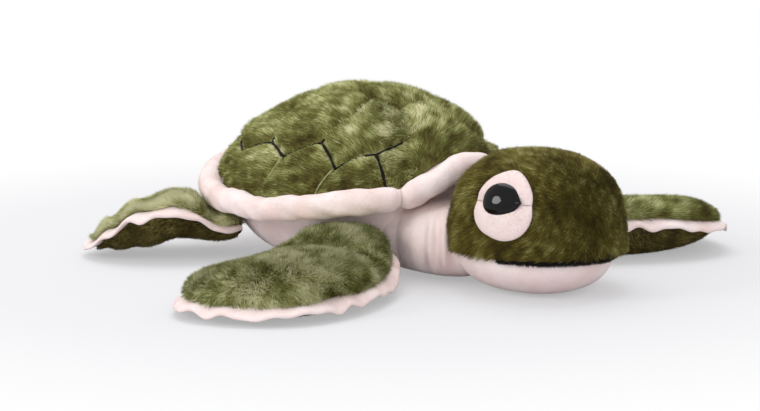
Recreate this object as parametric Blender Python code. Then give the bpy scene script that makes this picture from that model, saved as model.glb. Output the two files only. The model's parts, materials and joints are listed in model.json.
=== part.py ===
# A plush sea turtle, built from its sewn covers, fibre stuffing, rolled rim, trims and safety eyes.
# Units are metres and +Z is up. The turtle looks along -Y, its left side is at +X, and it lies on the floor at Z = 0.
# The origin is on the floor, on the flat of the belly, under the middle of the shell.
# Angles round the body and the head start at the front (-Y) and grow towards the turtle's left (+X).

import math

import bpy
import bmesh
import numpy as np
from mathutils import Vector

# Clearances
SEWN_GAP = 0.0003
FIBRE_GAP = 0.0006
FLOOR_CUT = 0.0005
CUT_OVERRUN = 0.010
MERGE_DISTANCE = 0.00001
SMOOTH_ANGLE = math.radians(40.0)

# Shell and belly
SHELL_HALF_WIDTH = 0.076
SHELL_HALF_LENGTH = 0.088
SHELL_CENTRE_Y = -0.009
SHELL_TOP = 0.104
SHELL_CROWN_Y = -0.030
SHELL_FRONT_SQUARENESS = 2.35
SHELL_REAR_SQUARENESS = 2.0
SHELL_WALL = 0.003
BELLY_WALL = 0.0025
SEAM_FRONT_HEIGHT = 0.067
SEAM_SHOULDER_HEIGHT = 0.051
SEAM_SIDE_HEIGHT = 0.041
SEAM_REAR_HEIGHT = 0.054
SEAM_ANGLE_SHARES = (0.0, 0.17, 0.53, 1.0)
SHELL_CROWN_POWERS = (2.0, 0.70)
BELLY_POWER = 5.0

# Quilting of the shell. The lines are drawn from above for the right half, as shares of the shell's half width and
# half length from its middle, and they are mirrored on the left.
QUILT_DEPTH = 0.0036
QUILT_SPREAD = 0.0060
QUILT_FADE_POWER = 12.0
SCUTE_LINE_SHARES = (((-0.62, 0.58), (-0.78, 0.41), (-0.79, 0.10), (-0.86, -0.11), (-0.74, -0.39), (-0.80, -0.56),
                      (-0.55, -0.73), (-0.26, -0.84), (-0.17, -0.67), (-0.28, -0.49), (-0.18, -0.24), (-0.26, 0.01),
                      (-0.17, 0.25), (-0.24, 0.49), (-0.16, 0.67), (-0.26, 0.81), (-0.45, 0.75), (-0.62, 0.58),
                      (-0.24, 0.49)),
                     ((-0.79, 0.10), (-0.26, 0.01)), ((-0.74, -0.39), (-0.28, -0.49)), ((-0.17, -0.67), (0.0, -0.67)),
                     ((-0.18, -0.24), (0.0, -0.24)), ((-0.17, 0.25), (0.0, 0.25)), ((-0.16, 0.67), (0.0, 0.67)))

# Rolled rim round the seam of shell and belly
RIM_SIDE_RADIUS = 0.0070
RIM_FRONT_RADIUS = 0.0082
RIM_DROP = 0.0050
RIM_PULL = 0.0010
RIM_COLLAR_ANGLE = math.radians(28.0)

# Neck
NECK_AXIS_Y = -0.088
NECK_RADIUS = 0.040
NECK_REACH = 0.048
NECK_TOP = 0.0435
NECK_BOTTOM = 0.001
NECK_SEAM_HEIGHT = 0.022
NECK_WALL = 0.0035
NECK_SWELL_POWERS = (4.0, 0.4)
NECK_FRONT_SQUARENESS = 3.5
NECK_BACK_SQUARENESS = 2.0

# Head
HEAD_CENTRE_Y = -0.158
HEAD_TWIST = math.radians(6.0)
HEAD_HALF_WIDTH = 0.0460
HEAD_HALF_LENGTH = 0.0475
HEAD_TOP = 0.0760
HEAD_EDGE_HEIGHT = 0.0235
HEAD_WALL = 0.003
HEAD_PLAN_POWER = 2.3
HEAD_CROWN_POWER = 2.75
HEAD_NOD_HEIGHT = 0.044
JAW_INSET = 0.004
JAW_EDGE_HEIGHT = 0.0225
JAW_WALL = 0.002
JAW_BOWL_POWERS = (3.2, 2.0)
MOUTH_CORD_RADIUS = 0.0012
MOUTH_HALF_ANGLE = math.radians(84.0)

# Eyes
EYE_ANGLE = math.radians(79.0)
EYE_HEIGHT = 0.0525
EYE_RADIUS = 0.0110
EYE_DOME = 0.0045
EYE_EDGE = 0.0012
EYE_TIP_SHARE = 0.08
SHANK_RADIUS = 0.0025
SHANK_LENGTH = 0.0140
WASHER_RADIUS = 0.0070
WASHER_THICKNESS = 0.0015
WASHER_DEPTH = 0.0056
PATCH_HALF_WIDTH = 0.0165
PATCH_RISE_SHARE = 0.84
PATCH_HALF_HEIGHT = 0.0190
PATCH_THICKNESS = 0.0016

# Flippers: sizes that the four share
FLIPPER_WALL = 0.002
TRIM_THICKNESS = 0.0024
FLIPPER_SWELL_POWERS = (2.6, 0.5)
ROLL_SETTLED_SHARE = 0.45
TAPER_FADE_SHARE = 0.75
ROOT_SPAN_SHARE = 0.36

# Front flippers
FRONT_ROOT_ANGLE = math.radians(58.0)
FRONT_ROOT_HEIGHT = 0.0200
FRONT_ROOT_SHIFT = 0.004
FRONT_ROOT_RADIUS = 0.0125
FRONT_ROOT_TUCK = 0.0007
FRONT_RIM_GAP = 0.0008
FRONT_LENGTH = 0.127
FRONT_CHORD = 0.092
FRONT_TRIM_WIDTH = 0.0085
FRONT_TRIM_DROOP_SHARE = 0.42
FRONT_RIDGE_SHARE = 0.18
FRONT_TAPER_SHARE = 0.75
# The left one lies flatter, a little forward and with its leading edge raised
LEFT_SWEEP_SHARE = 0.14
LEFT_ROLL_SHARE = 0.19
LEFT_FULLNESS_SHARE = 0.60

# Rear flippers
REAR_ROOT_ANGLE = math.radians(126.0)
REAR_ROOT_HEIGHT = 0.0185
REAR_ROOT_SHIFT = 0.0
REAR_ROOT_RADIUS = 0.0100
REAR_ROOT_TUCK = 0.0004
REAR_RIM_GAP = 0.0032
REAR_LENGTH = 0.070
REAR_CHORD = 0.056
REAR_TRIM_WIDTH = 0.0080
REAR_TRIM_DROOP_SHARE = 0.30
REAR_RIDGE_SHARE = 0.0
REAR_TAPER_SHARE = 0.0

# A flipper is drawn in its own frame: reach is the distance out from the hinge line, and lead is the distance along
# that line towards the turtle's front.
FRONT_PLAN_SHARES = ((-0.06, 0.24), (0.06, 0.37), (0.23, 0.48), (0.44, 0.52), (0.72, 0.45), (0.94, 0.25),
                     (1.00, -0.05), (0.94, -0.34), (0.74, -0.42), (0.42, -0.31), (0.10, -0.23), (-0.06, -0.20))
REAR_PLAN_SHARES = ((-0.12, 0.34), (0.12, 0.42), (0.40, 0.50), (0.72, 0.42), (0.94, 0.20),
                    (1.00, -0.05), (0.90, -0.32), (0.62, -0.48), (0.30, -0.48), (0.05, -0.42), (-0.12, -0.34))
FRONT_REACH_SHARES = (0.0, 0.18, 0.40, 0.62, 0.88, 1.0)
FRONT_SEAM_SHARES = (1.0, 0.72, 0.50, 0.45, 0.52, 0.62)
FRONT_TOP_SHARES = (0.60, 1.15, 0.86, 0.98, 1.10, 0.92)
FRONT_UNDER_SHARES = (0.60, 0.90, 1.0, 1.0, 1.0, 1.0)
REAR_REACH_SHARES = (0.0, 0.36, 0.66, 0.88, 1.0)
REAR_SEAM_SHARES = (1.05, 1.60, 1.39, 0.78, 0.33)
REAR_TOP_SHARES = (0.60, 0.64, 0.49, 0.38, 0.31)
REAR_UNDER_SHARES = (0.55, 0.80, 1.0, 1.0, 1.0)

# How far each flipper swings about its hinge, which its root and its top leave room for
FLAP_UP = math.radians(15.0)
FLAP_DOWN = math.radians(20.0)
RIM_LOOK_ANGLE = math.radians(60.0)

# Faces
BODY_SEGMENTS = 36
BODY_RINGS = 6
QUILT_RINGS = 14
HEAD_SEGMENTS = 30
HEAD_RINGS = 6
FLIPPER_SEGMENTS = 24
FLIPPER_RINGS = 4
ROLL_SIDES = 8
COLLAR_STEPS = 11
RIM_STEPS = 22
NECK_RINGS = 4
EYE_SIDES = 16
EYE_DOME_STEPS = 5
WASHER_SIDES = 12
PATCH_COLUMNS = 8
PATCH_ROWS = 5
CORD_SIDES = 6
CORD_STEPS = 17
CURVE_STEPS = 16
SEARCH_STEPS = 81
SEARCH_START_SHARE = 0.5
SLOPE_STEP = 0.0001

GREEN_PLUSH = ("green_plush", (0.150, 0.190, 0.060), 0.95)
DARK_PLUSH = ("dark_green_plush", (0.080, 0.095, 0.035), 0.95)
PALE_VELOUR = ("pale_pink_velour", (0.830, 0.700, 0.670), 0.90)
BLACK_THREAD = ("black_thread", (0.012, 0.012, 0.011), 0.80)
BLACK_PLASTIC = ("black_acrylic", (0.006, 0.006, 0.007), 0.06)
WHITE_FIBRE = ("white_polyester_fibre", (0.800, 0.800, 0.780), 1.00)
WASHER_PLASTIC = ("white_polypropylene", (0.750, 0.750, 0.730), 0.45)


def clear_scene():
    """Removes every object that the file starts with."""
    for item in list(bpy.data.objects):
        bpy.data.objects.remove(item, do_unlink=True)


def surface_material(finish):
    """Returns the material of this name, with its colour and roughness, and makes it when it isn't there yet."""
    name, colour, roughness = finish
    material = bpy.data.materials.get(name)
    if material is None:
        material = bpy.data.materials.new(name)
        material.use_nodes = True
        shader = material.node_tree.nodes["Principled BSDF"]
        shader.inputs["Base Color"].default_value = (*colour, 1.0)
        shader.inputs["Roughness"].default_value = roughness
        shader.inputs["Metallic"].default_value = 0.0
    return material


def pivot(name, position, parent=None):
    """An empty on the axis of a joint. What turns about the joint is its child."""
    empty = bpy.data.objects.new(name, None)
    empty.empty_display_size = FRONT_ROOT_RADIUS
    bpy.context.collection.objects.link(empty)
    empty.parent = parent
    offset = Vector(position)
    if parent is not None:
        offset = offset - Vector(parent["place"])
    empty.location = offset
    empty["place"] = tuple(position)
    return empty


def piece(name, points, faces, finish, parent=None):
    """One closed mesh object from points in world places, hung from the pivot that carries it."""
    points = np.asarray(points, dtype=float)
    if parent is not None:
        points = points - np.array(parent["place"])
    mesh = bpy.data.meshes.new(name)
    mesh.from_pydata(points.tolist(), [], faces)
    work = bmesh.new()
    work.from_mesh(mesh)
    bmesh.ops.remove_doubles(work, verts=work.verts, dist=MERGE_DISTANCE)
    bmesh.ops.recalc_face_normals(work, faces=work.faces)
    work.to_mesh(mesh)
    work.free()
    mesh.shade_smooth()
    mesh.set_sharp_from_angle(angle=SMOOTH_ANGLE)
    item = bpy.data.objects.new(name, mesh)
    bpy.context.collection.objects.link(item)
    item.parent = parent
    if finish is not None:
        mesh.materials.append(surface_material(finish))
    return item


def cutter(name, points, faces, parent=None):
    """A closed mesh that only cuts other pieces."""
    item = piece(name, points, faces, None, parent)
    item.hide_render = True
    item.display_type = "WIRE"
    return item


def cut(item, tool, operation="DIFFERENCE"):
    """Adds a Boolean with this tool to a piece."""
    modifier = item.modifiers.new(tool.name, "BOOLEAN")
    modifier.operation = operation
    modifier.solver = "EXACT"
    modifier.object = tool


def angles_round(count):
    """Evenly spaced angles round a closed outline."""
    return np.linspace(0.0, 2.0 * math.pi, count, endpoint=False)


def signed_power(values, power):
    """Raises the size of each value to a power and keeps its sign."""
    return np.sign(values) * np.abs(values) ** power


def eased(values, knots, heights):
    """Heights between knots, joined by half waves of a cosine, so that each knot is level."""
    values = np.asarray(values, dtype=float)
    knots = np.asarray(knots, dtype=float)
    heights = np.asarray(heights, dtype=float)
    spans = np.clip(np.searchsorted(knots, values, side="right") - 1, 0, len(knots) - 2)
    share = np.clip((values - knots[spans]) / (knots[spans + 1] - knots[spans]), 0.0, 1.0)
    rise = (1.0 - np.cos(math.pi * share)) / 2.0
    return heights[spans] + (heights[spans + 1] - heights[spans]) * rise


def closed_curve(knots, count):
    """Points at even steps of a smooth closed curve through the knots (a centripetal Catmull-Rom curve)."""
    knots = np.asarray(knots, dtype=float)
    total = len(knots)
    points = []
    for index in range(total):
        before, start, end, after = (knots[(index + step) % total] for step in (-1, 0, 1, 2))
        times = [0.0]
        for first, second in ((before, start), (start, end), (end, after)):
            times.append(times[-1] + math.sqrt(np.linalg.norm(second - first)))
        along = np.linspace(times[1], times[2], CURVE_STEPS, endpoint=False)[:, None]
        low = [((times[i + 1] - along) * p + (along - times[i]) * q) / (times[i + 1] - times[i])
               for i, (p, q) in enumerate(((before, start), (start, end), (end, after)))]
        middle = [((times[i + 2] - along) * low[i] + (along - times[i]) * low[i + 1]) / (times[i + 2] - times[i])
                  for i in range(2)]
        points.append(((times[2] - along) * middle[0] + (along - times[1]) * middle[1]) / (times[2] - times[1]))
    points = np.concatenate(points)
    steps = np.linalg.norm(np.roll(points, -1, axis=0) - points, axis=1)
    reached = np.concatenate(([0.0], np.cumsum(steps)))
    wanted = np.linspace(0.0, reached[-1], count, endpoint=False)
    looped = np.vstack((points, points[:1]))
    return np.stack([np.interp(wanted, reached, looped[:, axis]) for axis in range(2)], axis=1)


def outward(outline):
    """Unit directions that point out of a closed outline, seen from above."""
    along = np.roll(outline, -1, axis=0) - np.roll(outline, 1, axis=0)
    across = np.stack((along[:, 1], -along[:, 0]), axis=1)
    across /= np.linalg.norm(across, axis=1)[:, None]
    middle = outline.mean(axis=0)
    if np.sum(across * (outline - middle)) < 0:
        across = -across
    return across


def grown(outline, distance):
    """The outline moved outwards by a distance."""
    return outline + outward(outline) * distance


def ring_steps(count):
    """Steps from the middle to the edge of a dome, closer together near the edge."""
    return np.sin(np.linspace(0.0, math.pi / 2.0, count + 1))[1:]


def lens(top, bottom, rings, segments):
    """Points and faces of a closed body between two surfaces.
    Each surface maps a share of the way from the middle to the edge, and the number of a spoke, to a place.
    Rings are one number, or one for the top and one for the bottom.
    Layers that lie on each other are cut into the same triangles."""
    spokes = np.arange(segments)
    afters = (spokes + 1) % segments
    points, faces, edges = [], [], []
    start = 0
    for surface, count, turned in zip((top, bottom), np.broadcast_to(rings, 2).tolist(), (False, True)):
        points.append(surface(np.zeros(1), spokes[:1]))
        for share in ring_steps(count):
            points.append(surface(np.full(segments, share), spokes))
        for ring in range(count):
            inner = start + 1 + (ring - 1) * segments
            outer = inner + segments
            for spoke, after in zip(spokes.tolist(), afters.tolist()):
                if ring == 0:
                    parts = [(start, outer + spoke, outer + after)]
                else:
                    parts = [(inner + spoke, outer + spoke, outer + after),
                             (inner + spoke, outer + after, inner + after)]
                faces += [part[::-1] if turned else part for part in parts]
        edges.append(start + 1 + (count - 1) * segments)
        start += 1 + count * segments
    for spoke, after in zip(spokes.tolist(), afters.tolist()):
        faces.append((edges[0] + spoke, edges[1] + spoke, edges[1] + after))
        faces.append((edges[0] + spoke, edges[1] + after, edges[0] + after))
    return np.concatenate(points), faces


def sweep(sections, closed=False):
    """Points and faces of a closed body through sections that all have the same number of points."""
    sections = np.asarray(sections, dtype=float)
    count, sides = sections.shape[:2]
    faces = []
    for step in range(count if closed else count - 1):
        here = step * sides
        there = ((step + 1) % count) * sides
        for side in range(sides):
            after = (side + 1) % sides
            faces.append((here + side, here + after, there + after, there + side))
    if not closed:
        faces.append(tuple(range(sides))[::-1])
        faces.append(tuple(range((count - 1) * sides, count * sides)))
    return sections.reshape(-1, 3), faces


def slab(front, back):
    """Points and faces of a closed body between two sheets of points, each with the same rows and columns."""
    rows, columns = front.shape[:2]
    points = np.concatenate((front.reshape(-1, 3), back.reshape(-1, 3)))
    shift = rows * columns
    faces = []
    for row in range(rows - 1):
        for column in range(columns - 1):
            corner = row * columns + column
            for face in ((corner, corner + 1, corner + columns),
                         (corner + 1, corner + columns + 1, corner + columns)):
                faces.append(face)
                faces.append(tuple(point + shift for point in face[::-1]))
    border = [column for column in range(columns)]
    border += [row * columns + columns - 1 for row in range(1, rows)]
    border += [(rows - 1) * columns + column for column in range(columns - 2, -1, -1)]
    border += [row * columns for row in range(rows - 2, 0, -1)]
    for here, there in zip(border, border[1:] + border[:1]):
        faces.append((here, here + shift, there + shift, there))
    return points, faces


def tidy_faces(points, faces):
    """Drops faces that have shrunk to a line or a point where a sheet comes to a tip."""
    kept = []
    for face in faces:
        places = [tuple(np.round(points[index], 7)) for index in face]
        corners = [index for index, place in zip(face, places) if places.index(place) == face.index(index)]
        if len(corners) > 2:
            kept.append(tuple(corners))
    return points, kept


def turned_body(profile, centre, direction, sides):
    """A body turned from a profile of (radius, distance) about an axis from a centre along a direction."""
    direction = direction / np.linalg.norm(direction)
    across = np.cross(direction, np.array((0.0, 0.0, 1.0)))
    across /= np.linalg.norm(across)
    third = np.cross(direction, across)
    angles = angles_round(sides)
    spokes = np.cos(angles)[:, None] * across + np.sin(angles)[:, None] * third
    sections = [centre + direction * distance + spokes * radius for radius, distance in profile]
    return sweep(sections)


# Torso

def seam_height(angles):
    """Height of the seam between shell and belly, round the body."""
    turn = np.abs((np.asarray(angles) + math.pi) % (2.0 * math.pi) - math.pi) / math.pi
    heights = (SEAM_FRONT_HEIGHT, SEAM_SHOULDER_HEIGHT, SEAM_SIDE_HEIGHT, SEAM_REAR_HEIGHT)
    return eased(turn, SEAM_ANGLE_SHARES, heights)


def shell_plan(angles, growth):
    """Places on the outline of the shell, seen from above."""
    squareness = np.where(np.cos(angles) > 0.0, SHELL_FRONT_SQUARENESS, SHELL_REAR_SQUARENESS)
    x = (SHELL_HALF_WIDTH + growth) * signed_power(np.sin(angles), 2.0 / squareness)
    y = SHELL_CENTRE_Y - (SHELL_HALF_LENGTH + growth) * signed_power(np.cos(angles), 2.0 / squareness)
    return np.stack((x, y), axis=-1)


def quilt_share(flat):
    """How deep places seen from above lie in the quilting: 1 on its lines, falling off beside them."""
    flat = np.abs(flat - (0.0, SHELL_CENTRE_Y)) * (-1.0, 0.0) + (flat - (0.0, SHELL_CENTRE_Y)) * (0.0, 1.0)
    nearest = np.full(len(flat), SHELL_HALF_LENGTH)
    for line in SCUTE_LINE_SHARES:
        knots = np.array(line) * (SHELL_HALF_WIDTH, SHELL_HALF_LENGTH)
        for start, end in zip(knots[:-1], knots[1:]):
            run = end - start
            share = np.clip((flat - start) @ run / (run @ run), 0.0, 1.0)
            nearest = np.minimum(nearest, np.linalg.norm(flat - start - share[:, None] * run, axis=1))
    return np.exp(-((nearest / QUILT_SPREAD) ** 2))


def shell_dome(shares, angles, inset):
    """The plain dome of the shell, at an inset from its outside."""
    shares = np.asarray(shares, dtype=float)
    place = shell_plan(angles, -inset)
    centre = np.array((0.0, SHELL_CROWN_Y))
    flat = centre + (place - centre) * shares[:, None]
    inner, outer = SHELL_CROWN_POWERS
    crown = (1.0 - shares ** inner) ** outer
    seam = seam_height(angles)
    height = seam + (SHELL_TOP - inset - seam) * crown
    return np.column_stack((flat, height))


def shell_surface(shares, angles, inset):
    """The quilted dome of the shell: the plain one, drawn in along the lines and left alone at the seam."""
    outside = shell_dome(shares, angles, 0.0)
    inwards = np.array((0.0, SHELL_CROWN_Y, SEAM_SIDE_HEIGHT)) - outside
    inwards /= np.linalg.norm(inwards, axis=1)[:, None]
    depth = QUILT_DEPTH * quilt_share(outside[:, :2]) * (1.0 - np.asarray(shares) ** QUILT_FADE_POWER)
    return shell_dome(shares, angles, inset) + inwards * depth[:, None]


def belly_surface(shares, angles, inset):
    """The bowl of the belly, at an inset from its outside, flat where it rests."""
    shares = np.asarray(shares, dtype=float)
    place = shell_plan(angles, -inset)
    centre = np.array((0.0, SHELL_CENTRE_Y))
    flat = centre + (place - centre) * shares[:, None]
    seam = seam_height(angles) - SEWN_GAP
    height = (seam + FLOOR_CUT - inset) * shares ** BELLY_POWER - FLOOR_CUT + inset
    return np.column_stack((flat, np.maximum(height, inset)))


def rim_section(angle):
    """One section of the rolled rim, a circle square to the outline."""
    angle = float(angle)
    turn = abs((angle + math.pi) % (2.0 * math.pi) - math.pi)
    swell = math.exp(-((turn / RIM_COLLAR_ANGLE) ** 2))
    radius = RIM_SIDE_RADIUS + (RIM_FRONT_RADIUS - RIM_SIDE_RADIUS) * swell
    place = shell_plan(np.array([angle]), radius + SEWN_GAP - RIM_PULL)[0]
    step = shell_plan(np.array([angle + SLOPE_STEP]), radius)[0] - shell_plan(np.array([angle - SLOPE_STEP]), radius)[0]
    across = np.array((-step[1], step[0])) / -np.linalg.norm(step)
    height = float(seam_height(angle)) - RIM_DROP
    turns = angles_round(ROLL_SIDES)
    flat = place + np.cos(turns)[:, None] * across * radius
    return np.column_stack((flat, height + radius * np.sin(turns)))


def rim_roll(name, start, end, steps):
    """A length of the rolled rim between two angles round the body."""
    points, faces = sweep([rim_section(angle) for angle in np.linspace(start, end, steps)])
    return piece(name, points, faces, PALE_VELOUR)


def make_torso():
    """Shell, belly, rolled rim and the stuffing between them."""
    angles = angles_round(BODY_SEGMENTS)
    shell_points, shell_faces = lens(
        lambda share, spoke: shell_surface(share, angles[spoke], 0.0),
        lambda share, spoke: shell_surface(share, angles[spoke], SHELL_WALL), QUILT_RINGS, BODY_SEGMENTS)
    piece("shell_cover", shell_points, shell_faces, GREEN_PLUSH)
    belly_points, belly_faces = lens(
        lambda share, spoke: belly_surface(share, angles[spoke], BELLY_WALL),
        lambda share, spoke: belly_surface(share, angles[spoke], 0.0), BODY_RINGS, BODY_SEGMENTS)
    belly = piece("belly_cover", belly_points, belly_faces, PALE_VELOUR)
    inside = SHELL_WALL + FIBRE_GAP
    fill_points, fill_faces = lens(
        lambda share, spoke: shell_surface(share, angles[spoke], inside),
        lambda share, spoke: belly_surface(share, angles[spoke], inside), (QUILT_RINGS, BODY_RINGS), BODY_SEGMENTS)
    stuffing = piece("body_stuffing", fill_points, fill_faces, WHITE_FIBRE)

    end_gap = SEWN_GAP / SHELL_HALF_WIDTH
    rim_roll("rim_front", -RIM_COLLAR_ANGLE, RIM_COLLAR_ANGLE, COLLAR_STEPS)
    rim_roll("rim_left", RIM_COLLAR_ANGLE + end_gap, math.pi - end_gap, RIM_STEPS)
    rim_roll("rim_right", -RIM_COLLAR_ANGLE - end_gap, end_gap - math.pi, RIM_STEPS)

    seat_radius = NECK_RADIUS + SEWN_GAP
    seat_profile = [(seat_radius, -CUT_OVERRUN), (seat_radius, NECK_TOP + SEWN_GAP)]
    turns = angles_round(BODY_SEGMENTS)
    round_out = 1.0 / math.cos(math.pi / BODY_SEGMENTS)
    sections = [np.column_stack((radius * round_out * np.cos(turns), NECK_AXIS_Y + radius * round_out * np.sin(turns),
                                 np.full(BODY_SEGMENTS, height))) for radius, height in seat_profile]
    seat = cutter("neck_seat_cutter", *sweep(sections))
    cut(belly, seat)
    cut(stuffing, seat)


# Neck

def neck_surface(plan, centre, shares, spokes, top):
    """Top or underside of the neck: a flat-sided cushion over its plan."""
    shares = np.asarray(shares, dtype=float)
    flat = centre + (plan[spokes] - centre) * shares[:, None]
    inner, outer = NECK_SWELL_POWERS
    swell = (1.0 - shares ** inner) ** outer
    limit = NECK_TOP if top else NECK_BOTTOM
    return np.column_stack((flat, NECK_SEAM_HEIGHT + (limit - NECK_SEAM_HEIGHT) * swell))


def neck_plan():
    """Outline of the neck: round about its turning axis at the back, and squarer towards the head."""
    angles = angles_round(HEAD_SEGMENTS)
    front = np.cos(angles) > 0.0
    squareness = np.where(front, NECK_FRONT_SQUARENESS, NECK_BACK_SQUARENESS)
    reach = np.where(front, NECK_REACH, NECK_RADIUS)
    x = NECK_RADIUS * signed_power(np.sin(angles), 2.0 / squareness)
    y = NECK_AXIS_Y - reach * signed_power(np.cos(angles), 2.0 / squareness)
    return np.stack((x, y), axis=1)


def neck_tunnel(inset):
    """The hollow of the neck: a rounded tube along the turtle, at an inset from the cover's inner face."""
    turns = angles_round(HEAD_SEGMENTS)
    half_width = NECK_RADIUS - NECK_WALL - inset
    half_height = (NECK_TOP - NECK_BOTTOM) / 2.0 - NECK_WALL - inset
    middle = (NECK_TOP + NECK_BOTTOM) / 2.0
    x = half_width * np.cos(turns)
    z = middle + half_height * np.sin(turns)
    ends = (NECK_AXIS_Y - NECK_REACH - CUT_OVERRUN, NECK_AXIS_Y + NECK_RADIUS + CUT_OVERRUN)
    return sweep([np.column_stack((x, np.full(HEAD_SEGMENTS, y), z)) for y in ends])


def make_neck(neck_pivot, seat_radius):
    """Neck cover, open at both ends, and the stuffing in it. Both are hollowed for the back of the head."""
    plan = neck_plan()
    centre = np.array((0.0, NECK_AXIS_Y))
    points, faces = lens(
        lambda share, spoke: neck_surface(plan, centre, share, spoke, True),
        lambda share, spoke: neck_surface(plan, centre, share, spoke, False), NECK_RINGS, HEAD_SEGMENTS)
    cover = piece("neck_cover", points, faces, PALE_VELOUR, neck_pivot)
    stuffing = piece("neck_stuffing", points, faces, WHITE_FIBRE, neck_pivot)
    half_length = NECK_RADIUS + CUT_OVERRUN
    turns = angles_round(HEAD_SEGMENTS)
    round_out = 1.0 / math.cos(math.pi / HEAD_SEGMENTS)
    ring = seat_radius * round_out
    sections = [np.column_stack((np.full(HEAD_SEGMENTS, x), HEAD_CENTRE_Y + ring * np.cos(turns),
                                 HEAD_NOD_HEIGHT + ring * np.sin(turns))) for x in (-half_length, half_length)]
    seat = head_cutter("head_seat_cutter", sweep(sections), neck_pivot)
    hollow = cutter("neck_hollow_cutter", *neck_tunnel(0.0), neck_pivot)
    core = cutter("neck_core_cutter", *neck_tunnel(SEWN_GAP), neck_pivot)
    cut(cover, hollow)
    cut(cover, seat)
    cut(stuffing, core, "INTERSECT")
    cut(stuffing, seat)


# Head

def twisted(points):
    """Turns places of the head about its own upright axis, by the little that it looks to its left."""
    points = np.array(points, dtype=float)
    x, y = points[..., 0].copy(), points[..., 1] - HEAD_CENTRE_Y
    points[..., 0] = x * math.cos(HEAD_TWIST) - y * math.sin(HEAD_TWIST)
    points[..., 1] = HEAD_CENTRE_Y + x * math.sin(HEAD_TWIST) + y * math.cos(HEAD_TWIST)
    return points


def head_piece(name, body, finish, head_pivot):
    """A piece of the head from points and faces that are drawn looking straight ahead."""
    points, faces = body
    return piece(name, twisted(points), faces, finish, head_pivot)


def head_cutter(name, body, head_pivot):
    """A cutter of the head, drawn looking straight ahead."""
    points, faces = body
    return cutter(name, twisted(points), faces, head_pivot)


def head_plan(angles, growth):
    """Places on the outline of the head, seen from above."""
    x = (HEAD_HALF_WIDTH + growth) * signed_power(np.sin(angles), 2.0 / HEAD_PLAN_POWER)
    y = HEAD_CENTRE_Y - (HEAD_HALF_LENGTH + growth) * signed_power(np.cos(angles), 2.0 / HEAD_PLAN_POWER)
    return np.stack((x, y), axis=-1)


def head_dome(shares, angles, inset):
    """The crown of the head, at an inset from its outside."""
    shares = np.asarray(shares, dtype=float)
    centre = np.array((0.0, HEAD_CENTRE_Y))
    flat = centre + (head_plan(angles, -inset) - centre) * shares[:, None]
    crown = (1.0 - shares ** HEAD_CROWN_POWER) ** (1.0 / HEAD_CROWN_POWER)
    height = HEAD_EDGE_HEIGHT + (HEAD_TOP - inset - HEAD_EDGE_HEIGHT) * crown
    return np.column_stack((flat, height))


def jaw_bowl(shares, angles, inset):
    """The bowl of the jaw, at an inset from its outside, flat where it rests."""
    shares = np.asarray(shares, dtype=float)
    centre = np.array((0.0, HEAD_CENTRE_Y))
    flat = centre + (head_plan(angles, -JAW_INSET - inset) - centre) * shares[:, None]
    inner, outer = JAW_BOWL_POWERS
    bowl = 1.0 - (1.0 - shares ** inner) ** (1.0 / outer)
    height = inset - FLOOR_CUT + (JAW_EDGE_HEIGHT + FLOOR_CUT - inset) * bowl
    return np.column_stack((flat, np.maximum(height, inset)))


def head_point(angle, height, offset):
    """A place on the crown of the head at an angle and a height, moved outwards by an offset."""
    def on_surface(turn, level):
        share_up = np.clip((level - HEAD_EDGE_HEIGHT) / (HEAD_TOP - HEAD_EDGE_HEIGHT), 0.0, 1.0)
        share = (1.0 - share_up ** HEAD_CROWN_POWER) ** (1.0 / HEAD_CROWN_POWER)
        centre = np.array((0.0, HEAD_CENTRE_Y))
        flat = centre + (head_plan(turn, 0.0) - centre) * share[..., None]
        return np.concatenate((flat, level[..., None]), axis=-1)

    angle = np.asarray(angle, dtype=float)
    height = np.asarray(height, dtype=float)
    step = SLOPE_STEP
    round_head = on_surface(angle + step, height) - on_surface(angle - step, height)
    up_head = on_surface(angle, height + step * HEAD_TOP) - on_surface(angle, height - step * HEAD_TOP)
    normal = np.cross(up_head, round_head)
    normal /= np.linalg.norm(normal, axis=-1, keepdims=True)
    place = on_surface(angle, height)
    middle = np.array((0.0, HEAD_CENTRE_Y, HEAD_NOD_HEIGHT))
    facing = np.sum(normal * (place - middle), axis=-1, keepdims=True)
    return place + normal * np.sign(facing) * offset, normal * np.sign(facing)


def head_reach():
    """The furthest that the back of the head and jaw lie from the nodding axis."""
    angles = angles_round(HEAD_SEGMENTS)
    behind = angles[np.cos(angles) <= 0.0]
    reach = 0.0
    for surface in (head_dome, jaw_bowl):
        for share in np.linspace(0.0, 1.0, SEARCH_STEPS):
            points = surface(np.full(len(behind), share), behind, 0.0)
            reach = max(reach, float(np.hypot(points[:, 1] - HEAD_CENTRE_Y, points[:, 2] - HEAD_NOD_HEIGHT).max()))
    return reach


def eye_patch(name, side, upper, head_pivot):
    """Half of the pale patch round an eye. The halves meet in a seam at the height of the eye's middle."""
    across = np.linspace(-1.0, 1.0, PATCH_COLUMNS)
    up = np.linspace(0.0, 1.0, PATCH_ROWS)
    grid_across, grid_up = np.meshgrid(across, up)
    seam = SEWN_GAP / 2.0
    reach = PATCH_HALF_HEIGHT - seam
    climb = seam + reach * np.sin(grid_up * math.pi / 2.0)
    spread = PATCH_HALF_WIDTH / HEAD_HALF_WIDTH * grid_across * np.cos(grid_up * math.pi / 2.0)
    heights = EYE_HEIGHT + (climb * PATCH_RISE_SHARE if upper else -climb)
    angles = side * (EYE_ANGLE + spread)
    front, _ = head_point(angles, heights, SEWN_GAP + PATCH_THICKNESS)
    back, _ = head_point(angles, heights, SEWN_GAP)
    return head_piece(name, tidy_faces(*slab(front, back)), PALE_VELOUR, head_pivot)


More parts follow.
